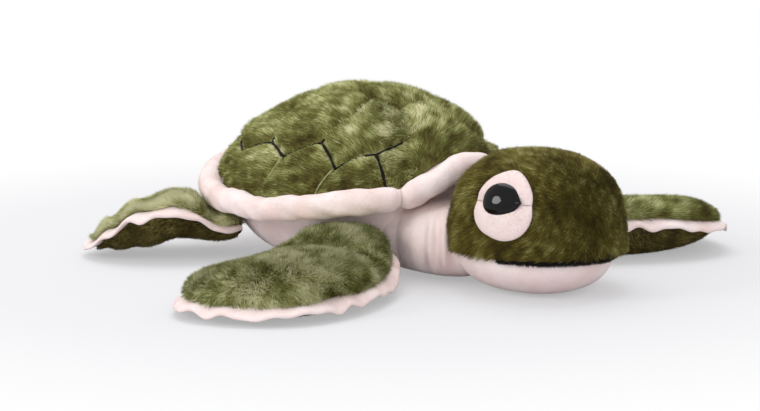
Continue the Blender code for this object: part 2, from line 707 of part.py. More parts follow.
def make_eye(side_name, side, head_pivot, head_cover, head_stuffing):
    """A safety eye with its shank, the washer that locks it inside the head, and the patch that it sits on."""
    angle = np.array(side * EYE_ANGLE)
    surface, outwards = head_point(angle, np.array(EYE_HEIGHT), 0.0)
    back = PATCH_THICKNESS + 2.0 * SEWN_GAP
    dome = [(EYE_RADIUS * math.cos(turn), back + EYE_EDGE + EYE_DOME * math.sin(turn))
            for turn in np.linspace(0.0, math.pi / 2.0, EYE_DOME_STEPS)[:-1]]
    tip_radius = EYE_RADIUS * EYE_TIP_SHARE
    profile = [(SHANK_RADIUS, back - SHANK_LENGTH), (SHANK_RADIUS, back), (EYE_RADIUS, back), *dome,
               (tip_radius, back + EYE_EDGE + EYE_DOME)]
    head_piece("eye_" + side_name, turned_body(profile, surface, outwards, EYE_SIDES), BLACK_PLASTIC, head_pivot)

    hole = SHANK_RADIUS + SEWN_GAP
    ring = [(hole, -WASHER_DEPTH - WASHER_THICKNESS), (WASHER_RADIUS, -WASHER_DEPTH - WASHER_THICKNESS),
            (WASHER_RADIUS, -WASHER_DEPTH), (hole, -WASHER_DEPTH)]
    washer = washer_ring(ring, surface, outwards, WASHER_SIDES)
    head_piece("eye_washer_" + side_name, washer, WASHER_PLASTIC, head_pivot)

    patches = [eye_patch("eye_patch_upper_" + side_name, side, True, head_pivot),
               eye_patch("eye_patch_lower_" + side_name, side, False, head_pivot)]
    shank_end = back - SHANK_LENGTH - SEWN_GAP
    through = [(hole, shank_end), (hole, back + CUT_OVERRUN)]
    shank_body = turned_body(through, surface, outwards, WASHER_SIDES)
    shank_tool = head_cutter("shank_cutter_" + side_name, shank_body, head_pivot)
    for item in (*patches, head_cover):
        cut(item, shank_tool)
    pocket_radius = WASHER_RADIUS + SEWN_GAP
    pocket = [(pocket_radius, shank_end), (pocket_radius, CUT_OVERRUN)]
    pocket_body = turned_body(pocket, surface, outwards, WASHER_SIDES)
    pocket_tool = head_cutter("washer_cutter_" + side_name, pocket_body, head_pivot)
    cut(head_stuffing, pocket_tool)


def washer_ring(profile, centre, direction, sides):
    """A ring with a hole, turned from a closed profile of (radius, distance)."""
    direction = direction / np.linalg.norm(direction)
    across = np.cross(direction, np.array((0.0, 0.0, 1.0)))
    across /= np.linalg.norm(across)
    third = np.cross(direction, across)
    sections = []
    for turn in angles_round(sides):
        spoke = math.cos(turn) * across + math.sin(turn) * third
        sections.append([centre + direction * distance + spoke * radius for radius, distance in profile])
    return sweep(sections, closed=True)


def make_head(head_pivot):
    """Head cover, jaw cover, mouth cord, stuffing and eyes."""
    angles = angles_round(HEAD_SEGMENTS)
    cover = head_piece("head_cover", lens(
        lambda share, spoke: head_dome(share, angles[spoke], 0.0),
        lambda share, spoke: head_dome(share, angles[spoke], HEAD_WALL), HEAD_RINGS, HEAD_SEGMENTS),
        GREEN_PLUSH, head_pivot)
    head_piece("jaw_cover", lens(
        lambda share, spoke: jaw_bowl(share, angles[spoke], JAW_WALL),
        lambda share, spoke: jaw_bowl(share, angles[spoke], 0.0), HEAD_RINGS, HEAD_SEGMENTS),
        PALE_VELOUR, head_pivot)
    inside = HEAD_WALL + FIBRE_GAP
    jaw_inside = JAW_WALL + FIBRE_GAP
    stuffing = head_piece("head_stuffing", lens(
        lambda share, spoke: head_dome(share, angles[spoke], inside),
        lambda share, spoke: jaw_bowl(share, angles[spoke], jaw_inside), HEAD_RINGS, HEAD_SEGMENTS),
        WHITE_FIBRE, head_pivot)
    turns = angles_round(CORD_SIDES)
    sections = []
    lip = -JAW_INSET / 2.0
    for angle in np.linspace(-MOUTH_HALF_ANGLE, MOUTH_HALF_ANGLE, CORD_STEPS):
        middle = head_plan(np.array([angle]), lip)[0]
        side_step = head_plan(np.array([angle]), 0.0)[0] - np.array((0.0, HEAD_CENTRE_Y))
        side_step /= np.linalg.norm(side_step)
        flat = middle + np.cos(turns)[:, None] * side_step * MOUTH_CORD_RADIUS
        height = HEAD_EDGE_HEIGHT - SEWN_GAP - MOUTH_CORD_RADIUS * (1.0 - np.sin(turns))
        sections.append(np.column_stack((flat, height)))
    head_piece("mouth_cord", sweep(sections), BLACK_THREAD, head_pivot)
    make_eye("right", -1.0, head_pivot, cover, stuffing)
    make_eye("left", 1.0, head_pivot, cover, stuffing)


# Flippers

def belly_support(direction, lead, height, radius, middle, half_width):
    """How far out along a direction a roller of the root's radius, centred on a lead, sits against the belly."""
    angles = angles_round(4 * BODY_SEGMENTS)
    best = 0.0
    for share in np.linspace(SEARCH_START_SHARE, 1.0, SEARCH_STEPS):
        points = belly_surface(np.full(len(angles), share), angles, 0.0)
        drop = points[:, 2] - height
        near = (np.abs(drop) < radius) & (np.abs(points[:, :2] @ lead - middle) < half_width)
        if near.any():
            stand = points[near, :2] @ direction + np.sqrt(radius ** 2 - drop[near] ** 2)
            best = max(best, float(stand.max()))
    return best + SEWN_GAP


class Flipper:
    """One flipper: where it hangs, how it lies and the surfaces of its covers."""

    def __init__(self, name, side, front, sweep_slope=0.0, roll_slope=0.0, fullness=1.0):
        self.name = name
        self.front = front
        self.side = side
        angle = FRONT_ROOT_ANGLE if front else REAR_ROOT_ANGLE
        self.out = np.array((side * math.sin(angle), -math.cos(angle)))
        self.lead = np.array((-side * math.cos(angle), -math.sin(angle)))
        self.length = FRONT_LENGTH if front else REAR_LENGTH
        self.chord = FRONT_CHORD if front else REAR_CHORD
        self.root_height = FRONT_ROOT_HEIGHT if front else REAR_ROOT_HEIGHT
        self.trim_width = FRONT_TRIM_WIDTH if front else REAR_TRIM_WIDTH
        self.trim_slope = FRONT_TRIM_DROOP_SHARE if front else REAR_TRIM_DROOP_SHARE
        self.sweep_slope = sweep_slope
        self.roll_slope = roll_slope
        self.fullness = fullness
        shift = FRONT_ROOT_SHIFT if front else REAR_ROOT_SHIFT
        self.root_radius = FRONT_ROOT_RADIUS if front else REAR_ROOT_RADIUS
        middle = self.lead[1] * SHELL_CENTRE_Y + shift
        half_width = ROOT_SPAN_SHARE * self.chord
        tuck = FRONT_ROOT_TUCK if front else REAR_ROOT_TUCK
        self.rim_gap = FRONT_RIM_GAP if front else REAR_RIM_GAP
        distance = belly_support(self.out, self.lead, self.root_height, self.root_radius, middle, half_width)
        self.origin = self.out * (distance - tuck) + self.lead * middle
        shares = FRONT_PLAN_SHARES if front else REAR_PLAN_SHARES
        knots = [(reach * self.length if reach > 0 else -self.root_radius, lead * self.chord)
                 for reach, lead in shares]
        self.plan = closed_curve(knots, FLIPPER_SEGMENTS)
        self.plan[:, 0] = np.maximum(self.plan[:, 0], -self.root_radius)
        turns = side * (angle + np.linspace(-RIM_LOOK_ANGLE, RIM_LOOK_ANGLE, SEARCH_STEPS))
        sections = np.array([rim_section(turn) for turn in turns])
        away = sections[:, :, :2] - self.origin
        leads = (away @ self.lead).mean(axis=1)
        order = np.argsort(leads)
        self.rim_lead = leads[order]
        self.rim_reach = (away @ self.out).max(axis=1)[order]
        self.rim_under = sections[:, :, 2].min(axis=1)[order]
        self.ridge = self.chord * (FRONT_RIDGE_SHARE if front else REAR_RIDGE_SHARE)
        self.taper = FRONT_TAPER_SHARE if front else REAR_TAPER_SHARE
        self.centre = np.array(((self.plan[:, 0].max() + self.plan[:, 0].min()) / 2.0, self.ridge))

    def height_along(self, reach, shares):
        """A height along the flipper, from shares of the height of its root."""
        steps = FRONT_REACH_SHARES if self.front else REAR_REACH_SHARES
        return self.root_height * eased(reach / self.length, steps, shares)

    def seam(self, reach, lead):
        """Height of the seam that joins the two covers."""
        height = self.height_along(reach, FRONT_SEAM_SHARES if self.front else REAR_SEAM_SHARES)
        settled = eased(reach / self.length, (0.0, ROLL_SETTLED_SHARE, 1.0), (0.0, 1.0, 1.0))
        return height + (lead + self.chord / 2.0) * self.roll_slope * settled

    def surface(self, outline, shares, spokes, inset, top):
        """Upper or lower face over an outline, with its root rounded about the hinge line."""
        shares = np.asarray(shares, dtype=float)
        flat = self.centre + (outline[spokes] - self.centre) * shares[:, None]
        reach, lead = flat[:, 0], flat[:, 1]
        seam = self.seam(reach, lead)
        inner_power, outer_power = FLIPPER_SWELL_POWERS
        crown = (1.0 - shares ** inner_power) ** outer_power
        lip = TRIM_THICKNESS / 2.0 + FIBRE_GAP
        if top:
            depth = self.height_along(reach, FRONT_TOP_SHARES if self.front else REAR_TOP_SHARES)
            behind = np.clip((self.ridge - lead) / (self.chord / 2.0), 0.0, 1.0)
            taper = self.taper * (1.0 - TAPER_FADE_SHARE * np.clip(reach / self.length, 0.0, 1.0))
            thinned = 1.0 - taper * eased(behind, (0.0, 1.0), (0.0, 1.0))
            height = seam + lip + np.maximum((depth - lip) * thinned * self.fullness - inset, 0.0) * crown
        else:
            share_down = eased(reach / self.length, FRONT_REACH_SHARES if self.front else REAR_REACH_SHARES,
                               FRONT_UNDER_SHARES if self.front else REAR_UNDER_SHARES)
            depth = (seam + FLOOR_CUT) * share_down
            height = np.maximum(seam - lip - (depth - inset - lip) * crown, inset)
        radius = self.root_radius - inset
        inner = np.clip(-reach, 0.0, radius)
        round_limit = np.sqrt(radius ** 2 - inner ** 2)
        outer = np.maximum(reach, 0.0)
        limit = np.where(reach < 0.0, round_limit, np.maximum(outer / math.tan(FLAP_DOWN), radius))
        if top:
            free = np.maximum(self.under_rim(outer, lead) - inset, seam - self.root_height + lip)
            limit = np.where(reach < 0.0, round_limit, free)
        rise = np.clip(height - self.root_height, -limit, limit)
        rise = np.where(reach < 0.0, np.where(top, np.maximum(rise, lip), np.minimum(rise, -lip)), rise)
        return self.place(reach, lead, self.root_height + rise)

    def under_rim(self, reach, lead):
        """How high over its hinge the flipper may stand so that it clears the rim when it flaps up."""
        below = np.interp(lead, self.rim_lead, self.rim_under) - self.root_height - self.rim_gap
        past = np.interp(lead, self.rim_lead, self.rim_reach) + self.rim_gap
        sine, cosine = math.sin(FLAP_UP), math.cos(FLAP_UP)
        return np.maximum((below - reach * sine) / cosine, (reach * cosine - past) / sine)

    def place(self, reach, lead, height):
        """World places from reach, lead and height."""
        leaned = lead + np.maximum(reach, 0.0) * self.sweep_slope
        flat = self.origin + reach[:, None] * self.out + leaned[:, None] * self.lead
        return np.column_stack((flat, height))

    def cover(self, kind, top, finish, parent):
        """Upper or lower cover: a shallow bowl with a wall."""
        inner = grown(self.plan, -FLIPPER_WALL)
        points, faces = lens(
            lambda share, spoke: self.surface(self.plan, share, spoke, 0.0, top),
            lambda share, spoke: self.surface(inner, share, spoke, FLIPPER_WALL, top),
            FLIPPER_RINGS, FLIPPER_SEGMENTS)
        piece(self.name + kind, points, faces, finish, parent)

    def stuffing(self, parent):
        """The fibre between the two covers."""
        inner = grown(self.plan, -FLIPPER_WALL)
        points, faces = lens(
            lambda share, spoke: self.surface(inner, share, spoke, FLIPPER_WALL, True) - (0.0, 0.0, FIBRE_GAP),
            lambda share, spoke: self.surface(inner, share, spoke, FLIPPER_WALL, False) + (0.0, 0.0, FIBRE_GAP),
            FLIPPER_RINGS, FLIPPER_SEGMENTS)
        piece(self.name + "_stuffing", points, faces, WHITE_FIBRE, parent)

    def trim(self, parent):
        """The flange that is sewn between the covers, all round but at the root."""
        away = outward(self.plan)
        reaches = (FIBRE_GAP - FLIPPER_WALL, SEWN_GAP, self.trim_width)
        clear = self.plan[:, 0] > self.root_height / 2.0
        total = len(clear)
        first = next(i for i in range(total) if clear[i] and not clear[i - 1])
        order = [(first + step) % total for step in range(int(clear.sum()))]
        plan, away = self.plan[order], away[order]
        sheets = []
        for side in (1, -1):
            rows = []
            for growth in reaches:
                sewn = plan + away * min(growth, SEWN_GAP)
                seam = self.seam(sewn[:, 0], sewn[:, 1]) - self.trim_slope * max(growth - SEWN_GAP, 0.0)
                edge = plan + away * growth
                rows.append(self.place(edge[:, 0], edge[:, 1], seam + side * TRIM_THICKNESS / 2.0))
            sheets.append(np.array(rows))
        piece(self.name + "_trim", *slab(*sheets), PALE_VELOUR, parent)

    def build(self):
        """Makes the four nodes of the flipper and prints where its hinge is."""
        hinge = (*self.origin, self.root_height)
        carrier = pivot(self.name + "_hinge", hinge)
        self.cover("_top", True, GREEN_PLUSH, carrier)
        self.cover("_under", False, DARK_PLUSH, carrier)
        self.trim(carrier)
        self.stuffing(carrier)
        axis = tuple(round(float(value), 5) for value in self.lead)
        print(self.name, "hinge at", tuple(round(float(value), 5) for value in hinge), "axis", axis)


def main():
    clear_scene()
    make_torso()
    seat_radius = head_reach() + SEWN_GAP
    print("head seat radius", round(seat_radius, 5))
    neck_pivot = pivot("neck_turn", (0.0, NECK_AXIS_Y, 0.0))
    make_neck(neck_pivot, seat_radius)
    head_pivot = pivot("head_nod", (0.0, HEAD_CENTRE_Y, HEAD_NOD_HEIGHT), neck_pivot)
    make_head(head_pivot)
    Flipper("front_right_flipper", -1.0, True).build()
    Flipper("front_left_flipper", 1.0, True, LEFT_SWEEP_SHARE, LEFT_ROLL_SHARE, LEFT_FULLNESS_SHARE).build()
    Flipper("rear_right_flipper", -1.0, False).build()
    Flipper("rear_left_flipper", 1.0, False).build()


main()
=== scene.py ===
# %% [markdown]
# A plush sea turtle is sewn from three cloths: a long green pile for the shell, the head and the tops of the
# flippers, a short dark green pile under the flippers, and a pale pink velour for the belly, neck, rim and trims.
# The solids of its frame hold the sizes. This lesson dresses them: each cloth is a curved surface worked out with
# numpy, and each pile is a great many thin blades that stand on such a surface.

# %% Frame and tools
import json
import math

import bmesh
import bpy
import numpy as np
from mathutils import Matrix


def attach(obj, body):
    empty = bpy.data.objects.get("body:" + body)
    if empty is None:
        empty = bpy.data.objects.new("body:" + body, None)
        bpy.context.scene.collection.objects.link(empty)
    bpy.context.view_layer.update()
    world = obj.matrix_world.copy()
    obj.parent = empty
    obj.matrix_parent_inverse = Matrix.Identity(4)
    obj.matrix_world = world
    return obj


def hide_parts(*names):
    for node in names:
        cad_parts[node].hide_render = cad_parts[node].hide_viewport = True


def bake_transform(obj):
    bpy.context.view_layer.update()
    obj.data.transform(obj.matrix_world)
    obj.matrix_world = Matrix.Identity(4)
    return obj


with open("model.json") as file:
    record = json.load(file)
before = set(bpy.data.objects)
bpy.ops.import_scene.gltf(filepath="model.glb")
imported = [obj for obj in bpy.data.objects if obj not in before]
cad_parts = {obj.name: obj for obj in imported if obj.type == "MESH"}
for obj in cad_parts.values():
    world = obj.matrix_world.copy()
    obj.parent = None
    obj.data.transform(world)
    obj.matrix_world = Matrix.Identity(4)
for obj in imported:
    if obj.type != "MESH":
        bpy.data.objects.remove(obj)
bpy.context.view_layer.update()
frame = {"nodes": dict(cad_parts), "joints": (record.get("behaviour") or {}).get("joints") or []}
rng = np.random.default_rng(29)
FULL_TURN = 2.0 * math.pi
MM = 0.001
joints = {joint["name"]: joint for joint in frame["joints"]}

# %% [markdown]
# The camera comes first, because every later choice is looked at through it. It stands low on the turtle's right,
# 42 degrees round from its nose, and looks a little down. A long lens keeps the near flipper from growing.

# %% Camera
CAMERA_TURN, CAMERA_RISE = math.radians(-42.0), math.radians(9.3)
CAMERA_DISTANCE = 1300.0 * MM
LOOK_RIGHT, LOOK_UP = 19.4 * MM, 26.0 * MM
LENS = 102.6

side_way = np.array((math.cos(CAMERA_TURN), math.sin(CAMERA_TURN), 0.0))
back_way = np.array((math.sin(CAMERA_TURN) * math.cos(CAMERA_RISE),
                     -math.cos(CAMERA_TURN) * math.cos(CAMERA_RISE), math.sin(CAMERA_RISE)))
up_way = np.cross(back_way, side_way)
camera = bpy.data.objects.new("camera", bpy.data.cameras.new("camera"))
bpy.context.scene.collection.objects.link(camera)
camera.data.lens = LENS
camera.data.clip_start, camera.data.clip_end = 0.05, 50.0
camera.location = side_way * LOOK_RIGHT + up_way * LOOK_UP + back_way * CAMERA_DISTANCE
camera.rotation_euler = (math.pi / 2.0 - CAMERA_RISE, 0.0, CAMERA_TURN)
bpy.context.scene.camera = camera
print("camera at", [round(value, 3) for value in camera.location])

# %% [markdown]
# A colour is written as it looks on a screen. Blender's shaders add up light, so they want linear values, and one
# function turns the one into the other. One more function adds a node with its settings and its links.

# %% Colours and nodes
def linear(code):
    """Linear colour from sRGB hex: c / 12.92 where c is small, else ((c + 0.055) / 1.055) to the power 2.4."""
    c = np.array([int(code[start:start + 2], 16) for start in (1, 3, 5)]) / 255.0
    return (*np.where(c <= 0.04045, c / 12.92, ((c + 0.055) / 1.055) ** 2.4), 1.0)


def add(tree, kind, inputs=None, stops=None, **settings):
    """Adds a node. An input takes a number, a colour or another node's socket, and stops are a ramp's colours."""
    made = tree.nodes.new(kind)
    for key, value in settings.items():
        setattr(made, key, value)
    for key, value in (inputs or {}).items():
        if isinstance(value, bpy.types.NodeSocket):
            tree.links.new(value, made.inputs[key])
        else:
            made.inputs[key].default_value = value
    for index, (place, code) in enumerate(stops or ()):
        stop = made.color_ramp.elements[index] if index < 2 else made.color_ramp.elements.new(place)
        stop.position, stop.color = place, linear(code)
    return made


def finish_of(name, **sockets):
    """A material of one Principled shader, with its constant values set on the sockets."""
    material = bpy.data.materials.new(name)
    material.use_nodes = True
    shader = material.node_tree.nodes["Principled BSDF"]
    for key, value in sockets.items():
        shader.inputs[key.replace("_", " ")].default_value = value
    return material, material.node_tree, shader.inputs


# %% [markdown]
# Long-pile plush is acrylic or polyester fibre, knitted into a backing and brushed. Each fibre is pale and yellowish
# at its root and green at its tip, so the cloth turns lighter wherever it parts. Every blade of pile carries a map
# of two numbers: its tone, from dark olive to yellow olive, and the way from root to tip. The colour comes from
# these two numbers alone, so a thousand blades can share one small patch of a baked picture.

# %% Pile materials
def pile_finish(name, root, tones, sheen):
    """A pile's colour: the tones' ramp over the map's first number, mixed in from the root's colour over its second."""
    material, tree, sockets = finish_of(name, Roughness=0.8, Sheen_Weight=sheen, Sheen_Roughness=0.4,
                                        Sheen_Tint=linear("#c8c890"))
    sockets["Specular IOR Level"].default_value = 0.15
    blade = add(tree, "ShaderNodeUVMap", uv_map="OFBake")
    parts = add(tree, "ShaderNodeSeparateXYZ", {"Vector": blade.outputs["UV"]})
    tone = add(tree, "ShaderNodeValToRGB", {"Fac": parts.outputs["X"]}, stops=tones)
    rise = add(tree, "ShaderNodeMapRange", {"Value": parts.outputs["Y"], "From Max": 0.6})
    colour = add(tree, "ShaderNodeMix", {0: rise.outputs[0], 6: linear(root), 7: tone.outputs[0]}, data_type="RGBA")
    tree.links.new(colour.outputs[2], sockets["Base Color"])
    return material


LONG_PILE_TONES = ((0.0, "#2f260e"), (1.0, "#e2dfb0"), (0.28, "#55481d"), (0.5, "#6a6d35"), (0.75, "#a4a866"))
HEAD_PILE_TONES = ((0.0, "#241b09"), (1.0, "#c2bb84"), (0.3, "#463a10"), (0.55, "#625720"), (0.8, "#888142"))
SHORT_PILE_TONES = ((0.0, "#33290f"), (1.0, "#968b52"), (0.5, "#675b2a"))
VELOUR_TONES = ((0.0, "#e3cbc4"), (1.0, "#fbf0ec"))
long_pile = pile_finish("long_pile_plush", "#8a834a", LONG_PILE_TONES, 0.1)
head_pile = pile_finish("clipped_head_plush", "#5c5424", HEAD_PILE_TONES, 0.1)
short_pile = pile_finish("short_dark_plush", "#3a3215", SHORT_PILE_TONES, 0.05)
black_pile = pile_finish("black_chenille", "#0d0c0b", ((0.0, "#0b0a0a"), (1.0, "#2a2725")), 0.02)
velour_nap = pile_finish("velour_nap", "#ecd8d2", VELOUR_TONES, 0.1)

# %% [markdown]
# The pile stands on a knitted backing, which shows only in the depth between the blades. The velour is a short,
# dense pile. Its nap is a bump of about half a millimetre, drawn a little coarser than it is so that it shows. Rim,
# lids and trims get a thin growth of fine blades later, for their soft edge. The pink drifts at random between two
# shades over patches of about 16 mm.
# The eyes are polished acrylic, which shows a lamp as a sharp spot. Thread and the moulded polypropylene washers
# inside the head are plain.

# %% Cloth, thread and plastic
def cloth_finish(name, shades, patch, nap, depth, sheen):
    """A cloth whose colour drifts between shades over patches, with a nap of that size and depth, both in metres."""
    material, tree, sockets = finish_of(name, Roughness=0.9, Sheen_Weight=sheen, Sheen_Roughness=0.4)
    sockets["Specular IOR Level"].default_value = 0.15
    where = add(tree, "ShaderNodeTexCoord").outputs["Object"]
    drift = add(tree, "ShaderNodeTexNoise", {"Vector": where, "Scale": 1.0 / patch, "Detail": 3.0})
    colour = add(tree, "ShaderNodeValToRGB", {"Fac": drift.outputs[0]}, stops=shades)
    tree.links.new(colour.outputs[0], sockets["Base Color"])
    fine = add(tree, "ShaderNodeTexNoise", {"Vector": where, "Scale": 1.0 / nap, "Detail": 2.0})
    raised = add(tree, "ShaderNodeBump", {"Height": fine.outputs[0], "Distance": depth, "Strength": 0.6})
    tree.links.new(raised.outputs[0], sockets["Normal"])
    return material


backing = cloth_finish("knitted_backing", ((0.3, "#4b4620"), (0.7, "#625e2e")), 12 * MM, 0.8 * MM, 0.4 * MM, 0.05)
dark_backing = cloth_finish("dark_backing", ((0.3, "#241e0a"), (0.7, "#39331a")), 12 * MM, 0.8 * MM, 0.4 * MM, 0.05)
parted_pile = cloth_finish("parted_plush_edge", ((0.3, "#8b8d5a"), (0.7, "#c3c494")), 3 * MM, 0.6 * MM, 0.3 * MM, 0.1)
velour = cloth_finish("pale_velour", ((0.3, "#e8d0cb"), (0.7, "#f2e4e1")), 16 * MM, 1.1 * MM, 0.5 * MM, 0.15)
thread = cloth_finish("black_embroidery", ((0.3, "#0c0b0a"), (0.7, "#1d1b19")), 3 * MM, 0.6 * MM, 0.3 * MM, 0.1)
eye_acrylic, _, eye_sockets = finish_of("polished_black_acrylic", Roughness=0.06, IOR=1.49,
                                        Base_Color=linear("#050404"))
eye_sockets["Specular IOR Level"].default_value = 0.3
washer_plastic = cloth_finish("moulded_polypropylene", ((0.3, "#dcdbd6"), (0.7, "#e4e3df")), 5 * MM, 0.5 * MM,
                              0.02 * MM, 0.0)
print("materials:", len(bpy.data.materials))

# %% [markdown]
# A padded cloth piece is a closed pad: an upper and a lower surface that share their edge. Each surface is a
# function of two parameters: the share of the way from the middle to the edge, and the turn round the middle. The
# rings close up towards the edge, where the curve is tightest. It could be sculpted from a sphere, but a function
# keeps every size in sight, and the pile can be planted on it.

# %% Pads
def unit(vectors):
    """Each vector divided by its length."""
    return vectors / np.maximum(np.linalg.norm(vectors, axis=-1, keepdims=True), 1e-12)


def facing(points, triangles):
    """Normals of points: the cross products of two sides of each triangle, summed round each point."""
    a, b, c = (points[triangles[:, corner]] for corner in range(3))
    total = np.zeros_like(points)
    for corner in range(3):
        np.add.at(total, triangles[:, corner], np.cross(b - a, c - a))
    return unit(total)


def disc_of(surface, rings, spokes):
    """Places on a surface at the middle and on rings at the sine of even steps, and the triangles between them."""
    shares = np.append(0.0, np.repeat(np.sin(np.linspace(0.0, math.pi / 2.0, rings + 1))[1:], spokes))
    turns = np.append(0.0, np.tile(np.arange(spokes) * FULL_TURN / spokes, rings))
    here = 1 + np.arange(rings * spokes).reshape(rings, spokes)
    after = np.roll(here, -1, axis=1)
    fan = np.stack((np.zeros(spokes, int), here[0], after[0]), axis=-1)
    inner, outer = (here[:-1], after[:-1]), (here[1:], after[1:])
    halves = [np.stack(corners, axis=-1).reshape(-1, 3)
              for corners in ((inner[0], outer[0], outer[1]), (inner[0], outer[1], inner[1]))]
    return surface(shares, turns), np.concatenate((fan, *halves)), shares, turns


def piece_of(name, points, faces, material, body, replaced=(), slot=None, fill=None, normals=None, uv=None):
    """A finished mesh piece with its material, which stands for CAD nodes and hides them; slot is not used. It rides
    on a body, or where body is two bodies and two places, it is left where it is and rides on neither."""
    mesh = bpy.data.meshes.new(name)
    mesh.from_pydata(np.asarray(points).tolist(), [], [list(map(int, face)) for face in faces])
    mesh.shade_smooth()
    mesh.materials.append(material)
    if uv is not None:
        corners = np.zeros(len(mesh.loops), int)
        mesh.loops.foreach_get("vertex_index", corners)
        mesh.uv_layers.new(name="OFBake").data.foreach_set("uv", uv[corners].astype(np.float32).ravel())
    if normals is not None:
        mesh.normals_split_custom_set_from_vertices(normals.tolist())
    item = bpy.data.objects.new(name, mesh)
    bpy.context.scene.collection.objects.link(item)
    if isinstance(body, str):
        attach(item, body)
    else:
        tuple(body[2])
        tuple(body[3])
        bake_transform(item)
    if replaced:
        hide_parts(*replaced)
    return item


def pad(name, upper, lower, rings, spokes, moved=None, **how):
    """A closed pad from an upper and a lower surface with one edge. moved gives how far each upper point shifts out
    along its normal. Returns the upper side, or the lower one where the upper has no more than two rings."""
    top, top_faces, *top_ways = disc_of(upper, rings[0], spokes)
    low, low_faces, *low_ways = disc_of(lower, rings[1], spokes)
    if moved is not None:
        top = top + facing(top, top_faces) * moved(top)[:, None]
    edge_top, edge_low = len(top) - spokes, len(low) - spokes
    low_index = np.arange(len(low)) + len(top)
    low_index[edge_low:] = np.arange(edge_top, len(top))
    points = np.concatenate((top, low[:edge_low]))
    faces = np.concatenate((top_faces, low_index[low_faces][:, ::-1]))
    piece_of(name, points, faces, fill=0.8, **how)
    if rings[0] > 2:
        return {"points": top, "faces": top_faces, "normals": facing(top, top_faces), "ways": top_ways}
    return {"points": low, "faces": low_faces[:, ::-1], "normals": facing(low, low_faces[:, ::-1]), "ways": low_ways}


# %% [markdown]
# Nothing sewn is regular. A sum of waves in random directions gives a soft, seeded unevenness that any surface or
# any tone can use.

# %% Unevenness
WAVES = 9
wave_ways = unit(rng.normal(size=(40, WAVES, 3)))
wave_starts = rng.random((40, WAVES)) * FULL_TURN
print("kinds of unevenness:", len(wave_starts))


def drift(points, size, kind):
    """Between about -1 and 1: the mean of nine sine waves of that size, each in its own direction."""
    turns = (np.asarray(points) @ wave_ways[kind].T) * (FULL_TURN / size) * np.linspace(0.7, 1.4, WAVES)
    return np.sin(turns + wave_starts[kind]).sum(axis=-1) / math.sqrt(WAVES)


# %% [markdown]
# Pile could be Blender's own hair, but hair doesn't travel to other programs. Here each tuft is real mesh: a thin
# three-sided spike, which shows a face to every side and leans the way that the cloth was brushed. Blades that stand
# near each other lean to one tip, which makes the tufts. The shading borrows half of its direction from the cloth
# below, so the pile looks soft and not like thorns.

# %% Blades of pile
def scatter(points, triangles, count):
    """Picks places evenly by area, and returns the function that reads any value of the points at these places."""
    a, b, c = (points[triangles[:, corner]] for corner in range(3))
    area = np.cumsum(np.linalg.norm(np.cross(b - a, c - a), axis=1))
    chosen = triangles[np.searchsorted(area / area[-1], rng.random(count))]
    reach, slide = np.sqrt(rng.random(count)), rng.random(count)
    weights = np.stack((1.0 - reach, reach * (1.0 - slide), reach * slide), axis=1)
    return lambda values: np.einsum("nk,nk...->n...", weights, values[chosen])


def blades(name, material, body, slot, roots, normals, comb, length, tone, lift=38.0, width=0.5 * MM,
           tuft=2.8 * MM, hold=0.4):
    """Blades from roots along the combed way, at a mean lift over the cloth in degrees. Each tip is drawn to the mean
    tip of its tuft by the share hold."""
    comb = unit(comb - normals * np.sum(comb * normals, axis=1, keepdims=True))
    tilt = np.radians(lift + rng.normal(size=(len(roots), 1)) * 10.0)
    tip = roots + (comb * np.cos(tilt) + normals * np.sin(tilt)) * length[:, None]
    loose = roots + rng.normal(size=roots.shape) * tuft * 0.18
    cell = np.unique(np.floor(loose / tuft).astype(int), axis=0, return_inverse=True)[1].ravel()
    members = np.bincount(cell)
    gathered = np.stack([np.bincount(cell, tip[:, axis]) / members for axis in range(3)], axis=1)
    tip += (gathered[cell] - tip) * hold
    along = unit(tip - roots)
    first = unit(np.cross(along, rng.normal(size=roots.shape)))
    second = np.cross(along, first)
    turn = np.arange(3) * FULL_TURN / 3.0
    ring = np.cos(turn)[:, None] * first[:, None] + np.sin(turn)[:, None] * second[:, None]
    thick = width / math.sqrt(3.0) * (0.7 + 0.6 * rng.random(len(roots)))
    points = np.concatenate((roots[:, None] + ring * thick[:, None, None], tip[:, None]), axis=1)
    soft = np.concatenate((unit(ring * 0.6 + normals[:, None] * 0.5), normals[:, None]), axis=1)
    tone = np.clip(tone, 0.02, 0.98)[:, None] + np.array((-1.0, 1.0, 0.0, 0.0)) * 0.004
    uv = np.stack((tone, np.broadcast_to((0.02, 0.02, 0.02, 0.98), tone.shape)), axis=-1)
    faces = np.arange(len(roots))[:, None, None] * 4 + np.array(((0, 1, 3), (1, 2, 3), (2, 0, 3)))
    piece_of(name, points.reshape(-1, 3), faces.reshape(-1, 3), material, body, slot=slot, normals=soft.reshape(-1, 3),
             uv=uv.reshape(-1, 2))
    print(name, len(roots), "blades,", 3 * len(roots), "triangles")


# %% [markdown]
# The shell is a dome over an outline that is squarer in front than behind. Its seam runs high over the neck, low at
# the sides and up again at the rear, and the crown lies a little in front of the middle. The cloth is quilted:
# stitched lines part it into scutes, and the filling swells between them.

# %% Shell form
SHELL_HALF_WIDTH, SHELL_HALF_LENGTH = 76 * MM, 88 * MM
SHELL_MIDDLE_Y, CROWN_Y, SHELL_TOP = -9 * MM, -30 * MM, 104 * MM
FRONT_SQUARENESS, REAR_SQUARENESS = 2.35, 2.0
SEAM_KNOTS, SEAM_HEIGHTS = (0.0, 0.17, 0.53, 1.0), (67 * MM, 51 * MM, 41 * MM, 54 * MM)
PILE_ROOM, EDGE_ROOM = 4.8 * MM, 1.5 * MM


